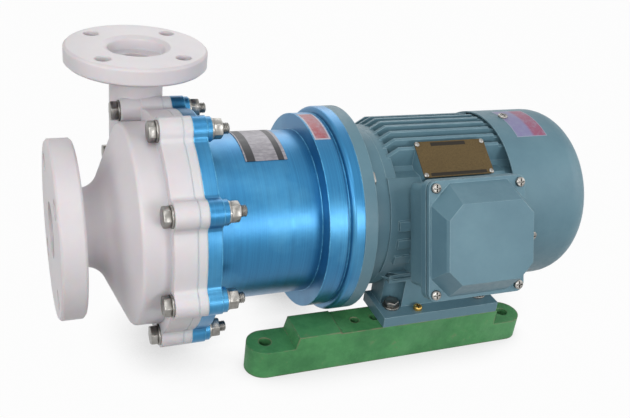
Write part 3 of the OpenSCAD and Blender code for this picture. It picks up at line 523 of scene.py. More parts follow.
@dataclass(frozen=True)
class DullSolid(Finish):
    """A dull moulded or pressed material with fine grain."""

    colour: Colour
    shade: Colour
    roughness: float = 0.6
    grain: float = 500.0
    relief: float = 0.2

    def paint(self, g: Graph) -> None:
        """Fills the tree.

        Args:
            g: The material's node tree.
        """
        grain = g.noise(self.grain, 5.0, 0.6)
        g.set(Base_Color=g.mix(g.span(g.noise(60.0, 4.0), 0.3, 0.7), self.colour, self.shade))
        g.set(Roughness=g.span(grain, 0.3, 0.7, self.roughness - 0.1, self.roughness + 0.1))
        g.set(Normal=g.bump(grain, self.relief, 0.0003, g.rounded(0.0006)))


@dataclass(frozen=True)
class LaminatedSteel(Finish):
    """Stacked sheet steel, with its joints as fine lines round the stack."""

    colour: Colour
    joint: Colour

    def paint(self, g: Graph) -> None:
        """Fills the tree.

        Args:
            g: The material's node tree.
        """
        sheets = g.noise(1.0, 2.0, 0.5, g.stretched((1900.0, 2.0, 2.0)))
        g.set(Base_Color=g.mix(g.span(sheets, 0.4, 0.62), self.joint, self.colour), Metallic=0.8)
        g.set(Roughness=g.span(sheets, 0.3, 0.7, 0.4, 0.62))
        g.set(Normal=g.bump(sheets, 0.5, 0.0003))


@dataclass(frozen=True)
class WoundCopper(Finish):
    """Varnished copper wire laid round the core."""

    colour: Colour
    shade: Colour

    def paint(self, g: Graph) -> None:
        """Fills the tree.

        Args:
            g: The material's node tree.
        """
        wires = g.noise(1.0, 3.0, 0.6, g.stretched((900.0, 260.0, 260.0)))
        g.set(Base_Color=g.mix(g.span(wires, 0.35, 0.65), self.shade, self.colour), Metallic=0.7)
        g.set(Roughness=g.span(wires, 0.3, 0.7, 0.28, 0.46), Normal=g.bump(wires, 0.7, 0.0008))


@dataclass(frozen=True)
class BarePlate(Finish):
    """A gilt sheet plate without words, with a dark field at its top and along its foot."""

    colour: Colour
    shade: Colour
    field: Colour
    centre: tuple[float, float, float]
    up: tuple[float, float, float]
    width: float
    height: float
    margin: float = 1.2
    top_end: float = 5.2
    foot_end: float = 4.6
    top_share: tuple[float, float] = (-0.28, 0.22)
    foot_share: tuple[float, float] = (-0.4, 0.4)

    def paint(self, g: Graph) -> None:
        """Fills the tree.

        Args:
            g: The material's node tree.
        """
        across = g.along((1.0, 0.0, 0.0), self.centre)
        rise = g.along(self.up, self.centre)
        half = self.height / 2
        left, right = (share * self.width for share in self.top_share)
        top = g.times(g.band(rise, half - self.top_end, half - self.margin), g.band(across, left, right))
        left, right = (share * self.width for share in self.foot_share)
        foot = g.times(g.band(rise, self.margin - half, self.foot_end - half), g.band(across, left, right))
        brush = g.noise(900.0, 4.0, 0.6)
        tone = g.mix(g.span(brush, 0.3, 0.7), self.shade, self.colour)
        tone = g.mix(g.times(g.span(g.noise(45.0, 5.0, 0.65), 0.5, 0.75), 0.4), tone, self.shade)
        g.set(Base_Color=g.mix(g.times(g.math("MAXIMUM", top, foot), 0.9), tone, self.field))
        g.set(Metallic=0.55, Roughness=g.span(brush, 0.3, 0.7, 0.34, 0.52))
        g.set(Normal=g.bump(brush, 0.12, 0.0002, g.rounded(0.0003)))


@dataclass(frozen=True)
class BareFoil(Finish):
    """A silver foil plate on the barrel without words, with a dark field near each end."""

    colour: Colour
    shade: Colour
    field: Colour
    fields: tuple[tuple[float, float], ...]

    def paint(self, g: Graph) -> None:
        """Fills the tree.

        Args:
            g: The material's node tree.
        """
        across = g.along((1.0, 0.0, 0.0), SHAFT)
        brush = g.noise(1.0, 4.0, 0.6, g.stretched((90.0, 420.0, 420.0)))
        tone = g.mix(g.span(brush, 0.3, 0.7), self.shade, self.colour)
        tone = g.mix(g.times(g.span(g.noise(260.0, 5.0, 0.7), 0.45, 0.65), 0.6), tone, self.shade)
        for low, high in self.fields:
            tone = g.mix(g.times(g.band(across, low, high), 0.95), tone, self.field)
        g.set(Base_Color=tone, Metallic=0.25, Roughness=g.span(brush, 0.3, 0.7, 0.36, 0.54))
        g.set(Normal=g.bump(brush, 0.1, 0.0002, g.rounded(0.0003)))


@dataclass(frozen=True)
class PrintedFoil(Finish):
    """A sticker of two plain colours, parted across the shaft, with a pale border."""

    first: Colour
    second: Colour
    border: Colour
    parted: float
    start: float
    end: float
    sides: tuple[float, float]
    rim: float = 1.5
    fade: float = 2.0
    soft: float = 0.3

    def paint(self, g: Graph) -> None:
        """Fills the tree.

        Args:
            g: The material's node tree.
        """
        across = g.along((1.0, 0.0, 0.0), SHAFT)
        aside = g.along((0.0, 1.0, 0.0), SHAFT)
        past = g.span(across, self.parted - self.fade, self.parted + self.fade)
        tone = g.mix(past, self.first, self.second)
        tone = g.mix(g.times(g.span(g.noise(180.0, 5.0, 0.7), 0.45, 0.7), 0.45), tone, self.border)
        inside = g.times(g.band(across, self.start + self.rim, self.end - self.rim, self.soft),
                         g.band(aside, self.sides[0] + self.rim, self.sides[1] - self.rim, self.soft))
        g.set(Base_Color=g.mix(inside, self.border, tone), Specular_IOR_Level=0.4)
        g.set(Roughness=g.span(g.noise(90.0), 0.3, 0.7, 0.34, 0.5))
        g.set(Normal=g.bump(g.noise(260.0, 4.0), 0.12, 0.0003))


class Shape:
    """One closed shape, in millimetres, made with mesh operators."""

    def __init__(self) -> None:
        """Starts an empty shape."""
        self.bm = bmesh.new()

    def turned(self, outline: Outline, steps: int = 28) -> "Shape":
        """Spins a closed outline about the z axis.

        Args:
            outline: Points of radius and height, round the outline.
            steps: Facets in a full turn.

        Returns:
            The shape.
        """
        verts = [self.bm.verts.new((r, 0.0, h)) for r, h in outline]
        rim = [self.bm.edges.new(pair) for pair in zip(verts, verts[1:])]
        if outline[0][0] > 0.0:
            rim.append(self.bm.edges.new((verts[-1], verts[0])))
        bmesh.ops.spin(self.bm, geom=verts + rim, cent=(0, 0, 0), axis=(0, 0, 1),
                       angle=2 * math.pi, steps=steps, use_merge=True)
        return self.closed()

    def hexagon(self, flats: float, low: float, high: float, chamfer: float) -> "Shape":
        """Makes a six-sided head with its top corners cut back.

        Args:
            flats: Width across the flats.
            low: Height of its seat.
            high: Height of its top.
            chamfer: Size of the cut at its top.

        Returns:
            The shape.
        """
        radius = flats / 2 / math.cos(math.pi / 6)
        move = Matrix.Translation((0, 0, (low + high) / 2))
        bmesh.ops.create_cone(self.bm, cap_ends=True, segments=6, radius1=radius, radius2=radius,
                              depth=high - low, matrix=move)
        tips = [v for v in self.bm.verts if v.co.z > high - FINE]
        bevel = {"offset_type": "OFFSET", "profile": 0.5, "material": -1}
        bmesh.ops.bevel(self.bm, geom=tips, offset=chamfer * 1.6, segments=2, affect="VERTICES", **bevel)
        bmesh.ops.bevel(self.bm, geom=self.bm.edges[:], offset=0.25, segments=1, affect="EDGES", **bevel)
        return self.closed()

    def cross(self, width: float, depth: float, top: float) -> "Shape":
        """Sinks a cross recess into a flat top.

        Args:
            width: Width of the recess.
            depth: Depth of the recess.
            top: Height of the flat top.

        Returns:
            The shape.
        """
        for axis in ((1, 0, 0), (0, 1, 0)):
            for side in (-1, 1):
                geom = self.bm.verts[:] + self.bm.edges[:] + self.bm.faces[:]
                bmesh.ops.bisect_plane(self.bm, geom=geom, dist=1e-5, plane_no=axis,
                                       plane_co=Vector(axis) * side * width / 2)
        sunk = []
        for face in self.bm.faces:
            middle = face.calc_center_median()
            level = face.normal.z > 0.9 and abs(middle.z - top) < SLACK
            if level and min(abs(middle.x), abs(middle.y)) < width / 2 - FINE:
                sunk.append(face)
        made = bmesh.ops.extrude_face_region(self.bm, geom=sunk)
        moved = [v for v in made["geom"] if isinstance(v, bmesh.types.BMVert)]
        bmesh.ops.translate(self.bm, verts=moved, vec=(0, 0, -depth))
        bmesh.ops.delete(self.bm, geom=sunk, context="FACES_ONLY")
        return self.closed()

    def closed(self) -> "Shape":
        """Merges doubles and turns the faces outwards.

        Returns:
            The shape.
        """
        bmesh.ops.remove_doubles(self.bm, verts=self.bm.verts[:], dist=1e-4)
        bmesh.ops.recalc_face_normals(self.bm, faces=self.bm.faces[:])
        return self


class Piece:
    """One object of the scene, gathered from placed shapes."""

    def __init__(self, name: str) -> None:
        """Starts an empty piece.

        Args:
            name: Name of the object.
        """
        self.name = name
        self.bm = bmesh.new()

    def put(self, shape: Shape, places: Iterable[Matrix]) -> None:
        """Adds a shape at each place, and uses the shape up.

        Args:
            shape: The shape, in millimetres.
            places: Where it goes, in metres.
        """
        mesh = bpy.data.meshes.new("shape")
        shape.bm.to_mesh(mesh)
        shape.bm.free()
        for place in places:
            before = len(self.bm.verts)
            self.bm.from_mesh(mesh)
            self.bm.verts.ensure_lookup_table()
            bmesh.ops.transform(self.bm, matrix=place @ Matrix.Scale(MM, 4), verts=self.bm.verts[before:])
        bpy.data.meshes.remove(mesh)

    def finish(self, material: bpy.types.Material, slot: str, *nodes: str,
               smooth: float = 35.0) -> bpy.types.Object:
        """Makes the object, dresses it and hangs it on the pump.

        Args:
            material: Its finish.
            slot: Its material slot in the record; not used.
            nodes: The solids it stands for.
            smooth: Edges sharper than this angle, in degrees, stay sharp.

        Returns:
            The object.
        """
        mesh = bpy.data.meshes.new(self.name)
        self.bm.to_mesh(mesh)
        self.bm.free()
        if "custom_normal" in mesh.attributes:
            mesh.attributes.remove(mesh.attributes["custom_normal"])
        mesh.shade_smooth()
        mesh.set_sharp_from_angle(angle=math.radians(smooth))
        mesh.materials.append(material)
        piece = bpy.data.objects.new(self.name, mesh)
        bpy.context.scene.collection.objects.link(piece)
        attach(piece, BODY)
        if nodes:
            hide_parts(*nodes)
        LOG.info("%s: %d faces", self.name, len(mesh.polygons))
        return piece


@dataclass(frozen=True)
class PlateSeat:
    """Where the bare plate sits on the motor's frame, in millimetres and degrees about the shaft."""

    turn: float = 35.5
    at: float = 106.0
    out: float = 88.5
    width: float = 76.0
    height: float = 38.0


PLATE = PlateSeat()


class Finishes:
    """Every finish of the pump, by the record's material slot."""

    def __init__(self) -> None:
        """Builds the materials."""
        turn = math.radians(PLATE.turn)
        out = Vector((0.0, -math.sin(turn), math.cos(turn)))
        up = (0.0, math.cos(turn), math.sin(turn))
        middle = tuple(SHAFT + Vector((PLATE.at * MM, 0.0, 0.0)) + out * (PLATE.out * MM))
        makers = (
            MouldedPlastic("white_plastic", srgb(221, 216, 219), srgb(200, 195, 200)),
            MouldedPlastic("inner_plastic", srgb(222, 220, 222), srgb(200, 197, 200), 0.45),
            TurnedPaint("blue_paint", srgb(46, 124, 170), srgb(34, 104, 148), srgb(112, 188, 220)),
            MachinePaint("motor_paint", srgb(100, 135, 148), srgb(89, 123, 137), srgb(160, 187, 196)),
            CastPaint("rail_paint", srgb(78, 146, 90), srgb(60, 122, 74), srgb(108, 166, 116),
                      srgb(134, 118, 100)),
            BareMetal("stainless", srgb(150, 148, 144), srgb(96, 92, 86), 0.34),
            BareMetal("steel", srgb(158, 160, 164), srgb(112, 112, 114), 0.36),
            LaminatedSteel("laminations", srgb(150, 152, 156), srgb(70, 68, 66)),
            WoundCopper("copper", srgb(190, 112, 62), srgb(96, 48, 26)),
            BareMetal("magnet", srgb(92, 94, 98), srgb(60, 60, 62), 0.42),
            DullSolid("ceramic", srgb(232, 226, 214), srgb(214, 206, 192), 0.3, 300.0, 0.08),
            DullSolid("carbon", srgb(58, 58, 62), srgb(40, 40, 42), 0.5, 700.0),
            DullSolid("fan_plastic", srgb(74, 76, 78), srgb(56, 58, 60), 0.55),
            DullSolid("black_plastic", srgb(46, 48, 50), srgb(34, 35, 36), 0.5),
            DullSolid("seal", srgb(40, 41, 42), srgb(28, 28, 29), 0.7, 800.0),
            DullSolid("block_plastic", srgb(62, 48, 42), srgb(46, 36, 32), 0.4),
            BareMetal("brass", srgb(204, 168, 96), srgb(150, 118, 62), 0.3),
            BarePlate("plate", srgb(102, 84, 50), srgb(78, 63, 36), srgb(28, 26, 24), middle, up,
                      PLATE.width, PLATE.height),
            BareFoil("label", srgb(178, 174, 180), srgb(124, 121, 127), srgb(30, 32, 36),
                     ((-93.7, -85.9), (-64.6, -58.9))),
        )
        self.slots = {maker.name: maker.build() for maker in makers}

    def dress(self) -> None:
        """Puts each finish on the solids that take it."""
        for row in frame["record"]["subparts"]:
            solid = frame["nodes"][row["node"]]
            solid.data.materials.clear()
            solid.data.materials.append(self.slots[row["material_slot"]])


@dataclass
class BracketStep:
    """The square step by which the barrel meets the band, and the thin line beside the ring."""

    barrel: float = 78.5
    shoulder: float = 90.5
    band: float = 94.0
    start: float = -47.0
    end: float = -31.0
    step: float = -32.0
    ring: float = -12.0
    groove: float = 2.0
    line: float = 0.5
    lean: float = 0.5

    def cut(self, bm: bmesh.types.BMesh) -> None:
        """Draws the round shoulder of the bracket's copy in to a square step.

        Args:
            bm: The copy's mesh, in metres.
        """
        rise = self.shoulder - self.barrel
        for vert in bm.verts:
            at = (vert.co.x - SHAFT.x) / MM
            radius = math.hypot(vert.co.y - SHAFT.y, vert.co.z - SHAFT.z) / MM
            if radius < self.barrel - SLACK:
                continue
            in_groove = self.ring - self.groove - SLACK < at < self.ring + SLACK
            if self.start - SLACK < at < self.end + SLACK:
                share = (radius - self.barrel) / rise
                self.move(vert, self.step if at < self.end - self.lean else self.step + self.lean,
                          (self.barrel + share * (self.band - self.barrel)) / radius)
            elif in_groove and abs(radius - self.band + self.groove) < SLACK:
                self.move(vert, at, (self.band - self.line) / radius)

    def move(self, vert: bmesh.types.BMVert, at: float, share: float) -> None:
        """Moves a vertex along the shaft and towards or away from it.

        Args:
            vert: The vertex.
            at: Its new distance from the flange face, in millimetres.
            share: Its new distance from the shaft, as a share of the old one.
        """
        across = Vector((0.0, vert.co.y - SHAFT.y, vert.co.z - SHAFT.z)) * share
        vert.co = Vector((SHAFT.x + at * MM, SHAFT.y, SHAFT.z)) + across


class Surfaces(Enum):
    """The solids whose curved faces show, with their finishes."""

    CASING = ("pump_casing", "white_plastic")
    SHELL = ("containment_shell", "white_plastic")
    BRACKET = ("bracket", "blue_paint")
    FRONT_SHIELD = ("front_end_shield", "motor_paint")
    FRAME = ("motor_frame", "motor_paint")
    COWL = ("fan_cowl", "motor_paint")
    NEAR_RAIL = ("base_rail_near", "rail_paint")
    FAR_RAIL = ("base_rail_far", "rail_paint")
    FOIL = ("bracket_label", "label")
    BOX = ("terminal_box", "motor_paint")

    def build(self, finishes: Finishes, angle: float = 24.0, merge: float = 2e-6) -> None:
        """Makes a joined copy of the solid, with smooth curves, that stands for it.

        Args:
            finishes: The finishes of the pump.
            angle: Edges sharper than this angle, in degrees, stay sharp.
            merge: Points nearer than this, in metres, are joined.
        """
        node, slot = self.value
        piece = Piece(f"{node}_skin")
        piece.bm.from_mesh(frame["nodes"][node].data)
        bmesh.ops.remove_doubles(piece.bm, verts=piece.bm.verts[:], dist=merge)
        if self is Surfaces.BRACKET:
            BracketStep().cut(piece.bm)
        made = piece.finish(finishes.slots[slot], slot, node, smooth=angle)
        weighted = made.modifiers.new("weighted", "WEIGHTED_NORMAL")
        weighted.keep_sharp = True
        weighted.mode = "FACE_AREA_WITH_ANGLE"


def round_shaft(turn: float, x: float, y: float, z: float) -> Matrix:
    """Gives a place in a frame that is turned about the shaft.

    Args:
        turn: Turn from straight up towards the near side, in degrees.
        x: Distance along the shaft from the flange face, in millimetres.
        y: Distance up the frame, in millimetres.
        z: Distance from the shaft, in millimetres.

    Returns:
        The place, in metres.
    """
    spin = Matrix.Rotation(math.radians(turn), 4, "X")
    return Matrix.Translation(SHAFT) @ spin @ Matrix.Translation((x * MM, y * MM, z * MM))


def threaded(radius: float, length: float, thread: float, pitch: float = 1.5) -> Outline:
    """Gives the outline of a shank with a threaded end.

    Args:
        radius: Radius of the shank.
        length: Its length from the head's seat.
        thread: Length of its thread.
        pitch: Pitch of the thread.

    Returns:
        Points of radius and height.
    """
    root, tip, plain_end = radius * 0.86, radius * 0.8, 0.8
    at = length - thread
    points = [(0.0, 0.0), (radius, 0.0), (radius, at)]
    while at + pitch < length - plain_end:
        points += [(root, at + pitch / 2), (radius, at + pitch)]
        at += pitch
    return points + [(tip, length), (0.0, length)]


def washer_outline(inner: float, outer: float, thick: float, cut: float = 0.3) -> Outline:
    """Gives the outline of a washer with broken edges.

    Args:
        inner: Radius of its hole.
        outer: Radius of its rim.
        thick: Thickness.
        cut: Size of its broken edges.

    Returns:
        Points of radius and height.
    """
    return [(inner, 0.0), (outer - cut, 0.0), (outer, cut),
            (outer, thick - cut), (outer - cut, thick), (inner, thick)]


def pan_head(radius: float, high: float) -> Outline:
    """Gives the outline of a pan head with a rounded rim.

    Args:
        radius: Radius of the head.
        high: Height of the head.

    Returns:
        Points of radius and height.
    """
    soft = min(1.2, high * 0.5)
    angles = (0.0, 0.5, 1.0, math.pi / 2)
    rim = [(radius - soft + soft * math.cos(a), high - soft + soft * math.sin(a)) for a in angles]
    return [(0.0, 0.0), (radius, 0.0), *rim, (0.0, high)]


@dataclass(frozen=True)
class PanScrew:
    """A screw with a pan head and a cross recess."""

    radius: float
    high: float
    recess: float
    length: float
    shank: float = 2.5
    slot: float = 1.2

    def put(self, piece: Piece, spots: Sequence[Matrix]) -> None:
        """Adds the head and the shank at each spot.

        Args:
            piece: The piece that takes them.
            spots: Places of the heads' seats.
        """
        head = Shape().turned(pan_head(self.radius, self.high)).cross(self.slot, self.recess, self.high)
        piece.put(head, spots)
        shank = [(0.0, -self.length), (self.shank, -self.length), (self.shank, HAIR), (0.0, HAIR)]
        piece.put(Shape().turned(shank), spots)


@dataclass
class CasingBolts:
    """The eight bolts that hold the casing to the bracket, with washers and nuts."""

    circle: float = 103.0
    thread: float = 10.0
    thread_length: float = 16.0
    flats: float = 16.0
    head: float = 6.5
    nut: float = 8.0
    chamfer: float = 1.0
    washer: float = 2.0
    washer_radius: float = 9.75
    short_seat: float = -171.5
    long_seat: float = -189.5
    short: tuple[int, ...] = (0, 1, 2, 3, 4, 5)
    long: tuple[int, ...] = (6, 7)
    ear_back: float = -126.5
    first: float = 13.2
    step: float = 45.0
    tail: float = 6.5

    def places(self, along: float, indices: Sequence[int], way: Matrix) -> list[Matrix]:
        """Gives the place of a shape on each bolt's axis.

        Args:
            along: Distance along the shaft from the flange face.
            indices: Which bolts.
            way: Turn that points the shape's z axis to the motor or to the pump.

        Returns:
            The places.
        """
        turns = [self.first + self.step * i for i in indices]
        return [round_shaft(turn, along, 0.0, self.circle) @ way for turn in turns]

    def ring(self) -> Shape:
        """Makes one washer."""
        return Shape().turned(washer_outline(self.thread / 2 + HOLE_AIR, self.washer_radius, self.washer))

    def build(self, finishes: Finishes) -> None:
        """Makes the bolts, washers and nuts.

        Args:
            finishes: The finishes of the pump.
        """
        steel = finishes.slots["stainless"]
        bolts = Piece("casing_bolts_made")
        washers = Piece("casing_washers_made")
        end = self.ear_back + self.washer + self.nut + self.tail
        for seat, indices in ((self.short_seat, self.short), (self.long_seat, self.long)):
            under = seat - self.washer
            head = Shape().hexagon(self.flats, 0.0, self.head, self.chamfer)
            bolts.put(head, self.places(under, indices, TO_PUMP))
            shank = Shape().turned(threaded(self.thread / 2, end - under, self.thread_length))
            bolts.put(shank, self.places(under, indices, TO_MOTOR))
            washers.put(self.ring(), self.places(seat, indices, TO_PUMP))
        bolts.finish(steel, "stainless", "casing_bolts")
        every = self.short + self.long
        washers.put(self.ring(), self.places(self.ear_back, every, TO_MOTOR))
        washers.finish(steel, "stainless", "casing_washers")
        nuts = Piece("casing_nuts_made")
        nut = Shape().hexagon(self.flats, 0.0, self.nut, self.chamfer)
        nuts.put(nut, self.places(self.ear_back + self.washer, every, TO_MOTOR))
        nuts.finish(steel, "stainless", "casing_nuts")


@dataclass
class FootBolts:
    """The four bolts that hold the motor's feet to the rails, with washers, and the earth screw."""

    across: float = 70.0
    holes: tuple[float, float] = (-4.0, 96.0)
    seat: float = 51.0
    thread: float = 8.0
    thread_length: float = 14.0
    pitch: float = 1.25
    flats: float = 12.8
    head: float = 5.2
    chamfer: float = 0.9
    washer: float = 2.0
    washer_radius: float = 8.65
    grip: float = 29.0
    earth: tuple[float, float] = (21.0, -80.0)
    earth_screw: PanScrew = PanScrew(4.5, 4.0, 1.6, 7.0)

    def on_foot(self, x: float, y: float) -> Matrix:
        """Gives a place on top of the feet, in metres, from one in millimetres."""
        return Matrix.Translation((x * MM, y * MM, self.seat * MM))

    def build(self, finishes: Finishes) -> None:
        """Makes the bolts, their washers and the earth screw.

        Args:
            finishes: The finishes of the pump.
        """
        steel = finishes.slots["stainless"]
        places = [self.on_foot(x, side * self.across) for x in self.holes for side in (-1, 1)]
        over = Matrix.Translation((0, 0, self.washer * MM)) @ Matrix.Rotation(math.pi, 4, "X")
        bolts = Piece("foot_bolts_made")
        bolts.put(Shape().hexagon(self.flats, self.washer, self.washer + self.head, self.chamfer), places)
        shank = threaded(self.thread / 2, self.grip + self.washer, self.thread_length, self.pitch)
        bolts.put(Shape().turned(shank), [place @ over for place in places])
        bolts.finish(steel, "stainless", "foot_bolts")
        washers = Piece("foot_washers_made")
        ring = washer_outline(self.thread / 2 + HOLE_AIR, self.washer_radius, self.washer)
        washers.put(Shape().turned(ring), places)
        washers.finish(steel, "stainless", "foot_washers")
        earth = Piece("earth_screw_made")
        self.earth_screw.put(earth, [self.on_foot(*self.earth)])
        earth.finish(finishes.slots["brass"], "brass", "earth_screw")


@dataclass
class CoverScrews:
    """The screws of the terminal cover and of the fan cowl, and the plate's rivets."""

    tilt: float = 69.0
    box: tuple[float, float] = (96.5, -18.0)
    reach: tuple[float, float] = (43.5, 47.5)
    seat: float = 129.0
    cover_screw: PanScrew = PanScrew(4.5, 3.0, 1.4, 18.0)
    cowl_at: float = 189.0
    cowl_seat: float = 89.0
    cowl_turns: tuple[float, ...] = (0.0, 90.0, 180.0, 270.0)
    cowl_screw: PanScrew = PanScrew(5.0, 2.6, 1.2, 11.5)
    rivets: tuple[float, float] = (35.4, 16.4)
    rivet_seat: float = 88.8
    rivet_steps: int = 20
    dome: Outline = ((0.0, -5.8), (1.5, -5.8), (1.5, 0.0), (2.55, 0.0),
                     (2.35, 0.45), (1.8, 0.8), (1.0, 0.97), (0.0, 1.0))

    def corners(self, turn: float, middle: tuple[float, float], reach: tuple[float, float],
                seat: float) -> list[Matrix]:
        """Gives the four corners of a rectangle in a frame that is turned about the shaft.

        Args:
            turn: Turn of the frame, in degrees.
            middle: Middle of the rectangle, along the shaft and up the frame.
            reach: Half its length and half its height.
            seat: Distance from the shaft.

        Returns:
            The places.
        """
        signs = [(i, j) for i in (-1, 1) for j in (-1, 1)]
        return [round_shaft(turn, middle[0] + i * reach[0], middle[1] + j * reach[1], seat) for i, j in signs]

    def build(self, finishes: Finishes) -> None:
        """Makes the screws and rivets.

        Args:
            finishes: The finishes of the pump.
        """
        steel = finishes.slots["stainless"]
        cover = Piece("terminal_screws_made")
        self.cover_screw.put(cover, self.corners(self.tilt, self.box, self.reach, self.seat))
        cover.finish(steel, "stainless", "terminal_screws")
        cowl = Piece("cowl_screws_made")
        spots = [round_shaft(turn, self.cowl_at, 0.0, self.cowl_seat) for turn in self.cowl_turns]
        self.cowl_screw.put(cowl, spots)
        cowl.finish(steel, "stainless", "cowl_screws")
        rivets = Piece("nameplate_rivets_made")
        spots = self.corners(PLATE.turn, (PLATE.at, 0.0), self.rivets, self.rivet_seat)
        rivets.put(Shape().turned(self.dome, self.rivet_steps), spots)
        rivets.finish(steel, "stainless", "nameplate_rivets")


@dataclass
class FlangeBolts:
    """The four bolts through the motor flange into the bracket."""

    circle: float = 82.5
    seat: float = 12.0
    thread: float = 10.0
    thread_length: float = 14.0
    head: float = 6.5
    flats: float = 16.0
    chamfer: float = 1.0
    length: float = 24.0
    turns: tuple[float, ...] = (45.0, 135.0, 225.0, 315.0)

    def build(self, finishes: Finishes) -> None:
        """Makes the bolts.

        Args:
            finishes: The finishes of the pump.
        """
        bolts = Piece("flange_bolts_made")
        seats = [round_shaft(turn, self.seat, 0.0, self.circle) for turn in self.turns]
        head = Shape().hexagon(self.flats, 0.0, self.head, self.chamfer)
        bolts.put(head, [seat @ TO_MOTOR for seat in seats])
        shank = Shape().turned(threaded(self.thread / 2, self.length, self.thread_length))
        bolts.put(shank, [seat @ TO_PUMP for seat in seats])
        bolts.finish(finishes.slots["stainless"], "stainless", "flange_bolts")


@dataclass
class Sticker:
    """A thin curved sticker laid on a round part of the pump."""

    name: str
    radius: float
    start: float
    end: float
    low: float
    high: float
    foil: PrintedFoil
    thick: float = 0.12
    steps: int = 16

    def build(self) -> None:
        """Makes the sticker by sweeping an edge round the shaft."""
        shape = Shape()
        bm = shape.bm
        ends = [bm.verts.new((x, 0.0, self.radius + HAIR)) for x in (self.start, self.end)]
        edge = bm.edges.new(ends)
        tilt = Matrix.Rotation(math.radians(self.low), 3, "X")
        bmesh.ops.rotate(bm, verts=ends, cent=(0, 0, 0), matrix=tilt)
        bmesh.ops.spin(bm, geom=ends + [edge], cent=(0, 0, 0), axis=(1, 0, 0),
                       angle=math.radians(self.high - self.low), steps=self.steps, use_merge=False)
        bmesh.ops.recalc_face_normals(bm, faces=bm.faces[:])
        if next(iter(bm.faces)).normal.z < 0:
            bmesh.ops.reverse_faces(bm, faces=bm.faces[:])
        bmesh.ops.solidify(bm, geom=bm.faces[:], thickness=-self.thick)
        piece = Piece(self.name)
        piece.put(shape, [Matrix.Translation(SHAFT)])
        piece.finish(self.foil.build(), "label")


STICKERS = (
    Sticker("band_strip", radius=94.0, start=-31.0, end=-15.5, low=-12.0, high=19.5,
            foil=PrintedFoil("strip_foil", srgb(164, 82, 90), srgb(160, 92, 100), srgb(186, 184, 196),
                             parted=-20.0, start=-31.0, end=-15.5, sides=(-31.4, 19.5))),
    Sticker("cowl_sticker", radius=89.0, start=186.0, end=222.0, low=-11.0, high=23.0,
            foil=PrintedFoil("cowl_foil", srgb(132, 128, 168), srgb(150, 84, 112), srgb(150, 160, 180),
                             parted=206.0, start=186.0, end=222.0, sides=(-34.8, 17.0), rim=0.8)),
)


@dataclass(frozen=True)
class Lamp:
    """A soft square lamp, with places in metres and power in watts."""

    name: str
    place: tuple[float, float, float]
    aim: tuple[float, float, float]
    power: float
    size: float

    def build(self) -> None:
        """Hangs the lamp and turns it to its aim."""
        data = bpy.data.lights.new(self.name, "AREA")
        data.energy = self.power
        data.size = self.size
        lamp = bpy.data.objects.new(self.name, data)
        lamp.location = self.place
        ahead = Vector(self.aim) - Vector(self.place)
        lamp.rotation_euler = ahead.to_track_quat("-Z", "Y").to_euler()
        bpy.context.scene.collection.objects.link(lamp)


LAMPS = (
    Lamp("key", (0.40, -1.50, 0.52), (-0.05, 0.0, 0.12), 7.0, 0.5),
    Lamp("front", (-0.85, -1.15, 0.85), (-0.1, 0.0, 0.12), 7.5, 0.6),
    Lamp("side", (-1.50, -0.35, 0.70), (-0.1, 0.0, 0.12), 6.0, 0.7),
    Lamp("upper", (-0.2, -0.60, 1.45), (-0.05, 0.0, 0.12), 4.0, 0.6),
    Lamp("right", (1.30, -0.60, 0.70), (0.0, 0.0, 0.12), 6.0, 0.8),
    Lamp("back", (0.3, 1.3, 1.0), (0.0, 0.0, 0.1), 6.0, 1.0),
)


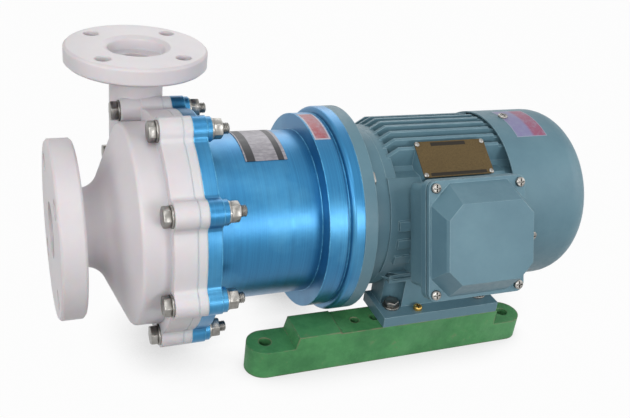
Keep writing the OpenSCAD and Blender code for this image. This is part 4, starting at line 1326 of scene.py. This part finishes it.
@dataclass
class Studio:
    """The camera, the floor, the lamps and the surround."""

    eye: tuple[float, float, float] = (-0.36816, -0.64713, 0.50987)
    yaw: float = 24.79
    pitch: float = 28.34
    roll: float = 7.44
    lens: float = 46.745
    shift: tuple[float, float] = (0.00317, 0.00476)
    ambient: float = 0.15
    floor_size: float = 6.0
    floor_tone: Colour = (0.2, 0.2, 0.2)
    painted_shadow_reach: float = 0.055
    # Share of white glow on the floor, in the open and under the deepest painted contact shadow
    glow: tuple[float, float] = (0.975, 0.25)

    def camera(self) -> None:
        """Sets the camera at the photograph's place."""
        yaw, pitch, roll = (math.radians(a) for a in (self.yaw, self.pitch, self.roll))
        ahead = Vector((math.sin(yaw) * math.cos(pitch), math.cos(yaw) * math.cos(pitch), -math.sin(pitch)))
        level = Vector((math.cos(yaw), -math.sin(yaw), 0.0))
        rise = level.cross(ahead)
        right = math.cos(roll) * level + math.sin(roll) * rise
        up = -math.sin(roll) * level + math.cos(roll) * rise
        data = bpy.data.cameras.new("camera")
        data.sensor_width = 36.0
        data.lens = self.lens
        data.shift_x, data.shift_y = self.shift
        data.clip_start = 0.01
        camera = bpy.data.objects.new("camera", data)
        camera.matrix_world = Matrix.Translation(self.eye) @ Matrix((right, up, -ahead)).transposed().to_4x4()
        bpy.context.scene.collection.objects.link(camera)
        bpy.context.scene.camera = camera

    def seen(self, tree: bpy.types.NodeTree) -> Socket:
        """Gives 1 for rays from the camera, from gloss and through glass.

        Args:
            tree: The node tree it is made in.

        Returns:
            The mask.
        """
        path = tree.nodes.new("ShaderNodeLightPath")
        total = path.outputs["Is Camera Ray"]
        for name in ("Is Glossy Ray", "Is Transmission Ray"):
            node = tree.nodes.new("ShaderNodeMath")
            node.operation = "MAXIMUM"
            tree.links.new(total, node.inputs[0])
            tree.links.new(path.outputs[name], node.inputs[1])
            total = node.outputs[0]
        return total

    def surround(self) -> None:
        """Sets a white surround that lights the object only softly."""
        world = bpy.data.worlds.new("surround")
        bpy.context.scene.world = world
        world.use_nodes = True
        tree = world.node_tree
        tree.nodes.clear()
        ground = tree.nodes.new("ShaderNodeBackground")
        ground.inputs["Color"].default_value = (1.0, 1.0, 1.0, 1.0)
        strength = tree.nodes.new("ShaderNodeMapRange")
        tree.links.new(self.seen(tree), strength.inputs[0])
        strength.inputs[3].default_value = self.ambient
        strength.inputs[4].default_value = 1.0
        tree.links.new(strength.outputs[0], ground.inputs["Strength"])
        output = tree.nodes.new("ShaderNodeOutputWorld")
        tree.links.new(ground.outputs[0], output.inputs["Surface"])

    def floor(self) -> None:
        """Lays a plain pale floor that keeps a faint shadow, with a painted contact shadow where the pump is
        close above it.
        """
        bm = bmesh.new()
        bmesh.ops.create_grid(bm, x_segments=1, y_segments=1, size=self.floor_size)
        mesh = bpy.data.meshes.new("floor")
        bm.to_mesh(mesh)
        bm.free()
        floor = bpy.data.objects.new("floor", mesh)
        bpy.context.scene.collection.objects.link(floor)
        g = Graph("floor")
        g.set(Base_Color=self.floor_tone, Roughness=0.9, Specular_IOR_Level=0.1)
        glow = g.add("ShaderNodeEmission")
        glow.inputs["Color"].default_value = (1.0, 1.0, 1.0, 1.0)
        # Painted contact shadow: where ambient occlusion finds the pump close by, the floor's white glow
        # gives way to its dark lit colour.
        closed = g.hollows(self.painted_shadow_reach)
        shade = g.span(g.times(closed, closed), 0.02, 0.8, *self.glow)
        share = g.times(self.seen(g.tree), shade)
        blend = g.add("ShaderNodeMixShader")
        g.feed(blend.inputs[0], share)
        g.tree.links.new(g.shader.outputs[0], blend.inputs[1])
        g.tree.links.new(glow.outputs[0], blend.inputs[2])
        output = next(n for n in g.tree.nodes if n.bl_idname == "ShaderNodeOutputMaterial")
        g.tree.links.new(blend.outputs[0], output.inputs["Surface"])
        mesh.materials.append(g.material)

    def build(self) -> None:
        """Sets up the whole studio."""
        bpy.context.scene.view_settings.view_transform = "Standard"
        self.camera()
        for lamp in LAMPS:
            lamp.build()
        self.surround()
        self.floor()


def main() -> None:
    """Builds the studio, the finishes and the pieces in order."""
    logging.basicConfig(level=logging.INFO, format="%(message)s")
    Studio().build()
    finishes = Finishes()
    finishes.dress()
    for surface in Surfaces:
        surface.build(finishes)
    for fasteners in (CasingBolts(), FootBolts(), CoverScrews(), FlangeBolts()):
        fasteners.build(finishes)
    for sticker in STICKERS:
        sticker.build()


if __name__ == "__main__":
    main()
